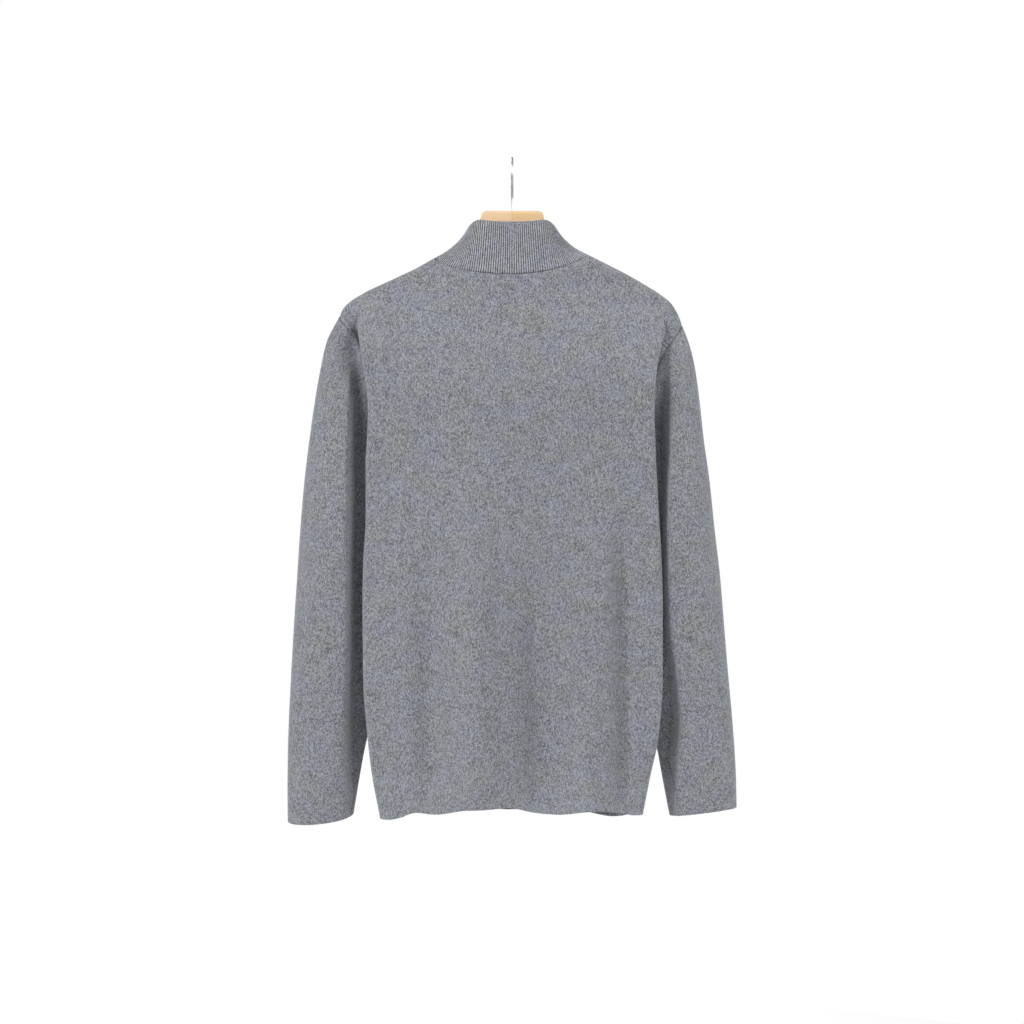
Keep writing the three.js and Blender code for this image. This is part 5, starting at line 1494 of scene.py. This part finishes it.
class CardiganLooks(bpy.types.PropertyGroup):
    """Colours and finishes of the cardigan and its hanger."""
    knit_light_cool: tint("Light yarn, cool", "Lightest yarn of the marl, bluish", 181, 184, 198)
    knit_light_warm: tint("Light yarn, warm", "Lightest yarn of the marl, brownish", 183, 184, 186)
    knit_dark_cool: tint("Dark yarn, cool", "Darkest yarn of the marl, bluish", 80, 84, 93)
    knit_dark_warm: tint("Dark yarn, warm", "Darkest yarn of the marl, brownish", 84, 85, 84)
    marl: amount("Marl", "Contrast of the yarn's marl", 0.8, min=0, max=4)
    tape: tint("Zip tape", "Colour of the zip tapes", 96, 99, 106)
    thread: tint("Thread", "Colour of the sewing thread", 88, 90, 97)
    zip_metal: tint("Zip metal", "Colour of the teeth, slider and pull", 150, 151, 154)
    light_wood: tint("Light wood", "Wood of the hanger's left half", 249, 214, 171)
    warm_wood: tint("Warm wood", "Wood of the hanger's right half", 245, 208, 156)
    steel: tint("Steel", "Colour of the hook", 222, 223, 225)


class CardiganSizes(bpy.types.PropertyGroup):
    """Sizes of the knit and the stage."""
    wale: amount("Wale", "Width of a column of stitches, in millimetres", 2.0, min=0.5)
    course: amount("Course", "Height of a row of stitches, in millimetres", 1.6, min=0.5)
    stitch_relief: amount("Stitch relief", "Relief of the stitches, in millimetres", 0.45, min=0)
    # The hem band's height also bounds painted light: the body's knit is painted lighter over it.
    hem_band: amount("Hem band", "Height of the doubled hem, in millimetres", 54.0, min=0)
    camera_distance: amount("Camera distance", "From the camera to the hanger's plane", 3.0,
                            unit="LENGTH")
    view_height: amount("View height", "Height of the view at the hanger's plane", 1.28,
                        unit="LENGTH")
    view_centre: amount("View centre", "Height of the middle of the view", -0.44, unit="LENGTH")
    floor_height: amount("Floor height", "Height of the floor below the rail", -1.35,
                         unit="LENGTH")
    floor_radius: amount("Floor radius", "Radius of the floor", 1.5, unit="LENGTH")
    room_light: amount("Room light", "Strength of the even light of the room", 0.29, min=0)
    side_light: IntProperty(name="Light", description="Power of the main soft light, in watts",
                            default=84, min=1)


def looks():
    return bpy.context.scene.cardigan_looks


def sizes():
    return bpy.context.scene.cardigan_sizes


def knit(name, lit_hem_band=0.0):
    known = bpy.data.materials.get(name)
    size = sizes()
    return known or knit_material(name, looks(), size.wale, size.course, size.stitch_relief, lit_hem_band)


# ---------------------------------------------------------------- operators

class CARDIGAN_OT_stage(bpy.types.Operator):
    """Sets the floor, the soft lights and the camera"""
    bl_idname = "cardigan.stage"
    bl_label = "Stage"

    def execute(self, context):
        size = sizes()
        scene = context.scene
        bpy.ops.mesh.primitive_circle_add(vertices=96, radius=size.floor_radius, fill_type="NGON",
                                          location=(0, 0, size.floor_height))
        floor = context.object
        floor.name = "floor"
        floor.data.materials.append(floor_material("pale_floor", painted(244, 244, 244)))

        lens = bpy.data.cameras.new("camera")
        lens.sensor_width = 36.0
        lens.lens = lens.sensor_width * size.camera_distance / size.view_height
        camera = bpy.data.objects.new("camera", lens)
        camera.matrix_world = Matrix((
            (-1, 0, 0, 0), (0, 0, 1, size.camera_distance),
            (0, 1, 0, size.view_centre), (0, 0, 0, 1)))
        scene.collection.objects.link(camera)
        scene.camera = camera

        centre = Vector((0, 0, -0.45))
        watts = size.side_light
        for name, place, width, share in (
                ("light_left", (2.3, 1.7, 1.4), 1.0, 0.98),
                ("light_right", (-2.1, 2.1, 0.9), 1.4, 0.44),
                ("light_edge", (-2.7, -0.2, 0.6), 1.0, 0.35),
                ("light_front", (1.2, -2.6, 0.8), 1.4, 0.8)):
            lamp = bpy.data.lights.new(name, "AREA")
            lamp.size = width
            lamp.energy = watts * share
            lamp_object = bpy.data.objects.new(name, lamp)
            lamp_object.location = place
            aim = centre - Vector(place)
            lamp_object.rotation_euler = aim.to_track_quat("-Z", "Y").to_euler()
            scene.collection.objects.link(lamp_object)

        world = bpy.data.worlds.new("studio")
        world.use_nodes = True
        sky = Nodes(world.node_tree)
        seen = Field(sky, sky.node("ShaderNodeLightPath", {}, {}).outputs["Is Camera Ray"])
        strength = seen + (1 - seen) * size.room_light
        sky.fill(world.node_tree.nodes["Background"], {"Color": (1, 1, 1, 1), "Strength": strength})
        scene.world = world
        scene.view_settings.view_transform = "Standard"
        return {"FINISHED"}


class CARDIGAN_OT_body(bpy.types.Operator):
    """Knits the back and the two fronts"""
    bl_idname = "cardigan.body"
    bl_label = "Back and fronts"

    def execute(self, context):
        # The body's knit is painted lighter over the hem band.
        material = knit("body_knit", sizes().hem_band)
        back = dress(back_panel(), material, "garment", ["back"])
        for side in (1, -1):
            name = f"front_{side_name(side)}"
            front = dress(front_panel(side), material, "garment", [name])
        return {"FINISHED"}


class CARDIGAN_OT_sleeves(bpy.types.Operator):
    """Knits the two sleeves"""
    bl_idname = "cardigan.sleeves"
    bl_label = "Sleeves"

    def execute(self, context):
        material = knit("sleeve_knit")
        for side in (1, -1):
            piece = dress(sleeve(side), material, "garment", [f"sleeve_{side_name(side)}"])
        return {"FINISHED"}


class CARDIGAN_OT_collar(bpy.types.Operator):
    """Knits the ribbed stand-up collar"""
    bl_idname = "cardigan.collar"
    bl_label = "Collar"

    def execute(self, context):
        size = sizes()
        # ribbed sets the painted shade in the valleys between the collar's ribs.
        material = knit_material("rib_knit", looks(), RIB_WALE, size.course, size.stitch_relief,
                                 ribbed=1.65)
        piece = dress(collar(), material, "garment", ["collar"])
        return {"FINISHED"}


class CARDIGAN_OT_zip(bpy.types.Operator):
    """Makes the zip: tapes, teeth, box, stops and the sewing that holds it"""
    bl_idname = "cardigan.zip"
    bl_label = "Zip"

    def execute(self, context):
        shades = looks()
        metal = metal_material("zip_metal", shades.zip_metal, 0.32, 0.02)
        tape = tape_material("zip_tape", shades.tape)
        thread = tape_material("thread", shades.thread)
        for side in (1, -1):
            name = side_name(side)
            piece = dress(zip_tape(side), tape, "garment", [f"zip_tape_{name}"])
            sewing = dress(zip_stitches(side), thread, "garment", [])
            sewing.data.uv_layers.new(name="cloth")
        dress(zip_teeth(), metal, "garment", ["zip_chain"])
        dress(open_teeth(), metal, "garment", [])
        dress(zip_box(), metal, "garment", ["zip_box"])
        return {"FINISHED"}


class CARDIGAN_OT_slider(bpy.types.Operator):
    """Makes the slider and the pull tab that hangs from it"""
    bl_idname = "cardigan.slider"
    bl_label = "Slider and pull tab"

    def execute(self, context):
        metal = metal_material("slider_metal", looks().zip_metal, 0.26, 0.03)
        dress(slider(), metal, "garment", ["zip_slider"])
        dress(pull_tab(), metal, "pull_tab", ["zip_pull"])
        return {"FINISHED"}


class CARDIGAN_OT_hanger(bpy.types.Operator):
    """Makes the wooden hanger in two halves, and its steel hook"""
    bl_idname = "cardigan.hanger"
    bl_label = "Hanger and hook"

    def execute(self, context):
        shades = looks()
        for side, slot in ((1, "light_wood"), (-1, "warm_wood")):
            material = wood_material(slot, getattr(shades, slot), 0.3 * side)
            dress(hanger_half(side), material, "garment", [f"hanger_{side_name(side)}"])
        steel = metal_material("hook_steel", shades.steel, 0.42)
        dress(hook_wire(), steel, "garment", ["hook"])
        return {"FINISHED"}


PIECES = (CARDIGAN_OT_stage, CARDIGAN_OT_body, CARDIGAN_OT_sleeves, CARDIGAN_OT_collar,
          CARDIGAN_OT_zip, CARDIGAN_OT_slider, CARDIGAN_OT_hanger)


class CARDIGAN_PT_sidebar(bpy.types.Panel):
    """Lists the pieces of the cardigan and the settings they are made with"""
    bl_idname = "CARDIGAN_PT_sidebar"
    bl_label = "Cardigan"
    bl_space_type = "VIEW_3D"
    bl_region_type = "UI"
    bl_category = "Cardigan"

    def draw(self, context):
        for group in (context.scene.cardigan_sizes, context.scene.cardigan_looks):
            box = self.layout.box()
            for name in group.__annotations__:
                box.prop(group, name)
        for piece in PIECES:
            self.layout.operator(piece.bl_idname)


CLASSES = (CardiganLooks, CardiganSizes, *PIECES, CARDIGAN_PT_sidebar)


def register():
    for item in CLASSES:
        bpy.utils.register_class(item)
    bpy.types.Scene.cardigan_looks = PointerProperty(type=CardiganLooks)
    bpy.types.Scene.cardigan_sizes = PointerProperty(type=CardiganSizes)


def unregister():
    del bpy.types.Scene.cardigan_looks
    del bpy.types.Scene.cardigan_sizes
    for item in reversed(CLASSES):
        bpy.utils.unregister_class(item)


def main():
    register()
    for piece in PIECES:
        family, action = piece.bl_idname.split(".")
        getattr(getattr(bpy.ops, family), action)()


if __name__ == "__main__":
    main()
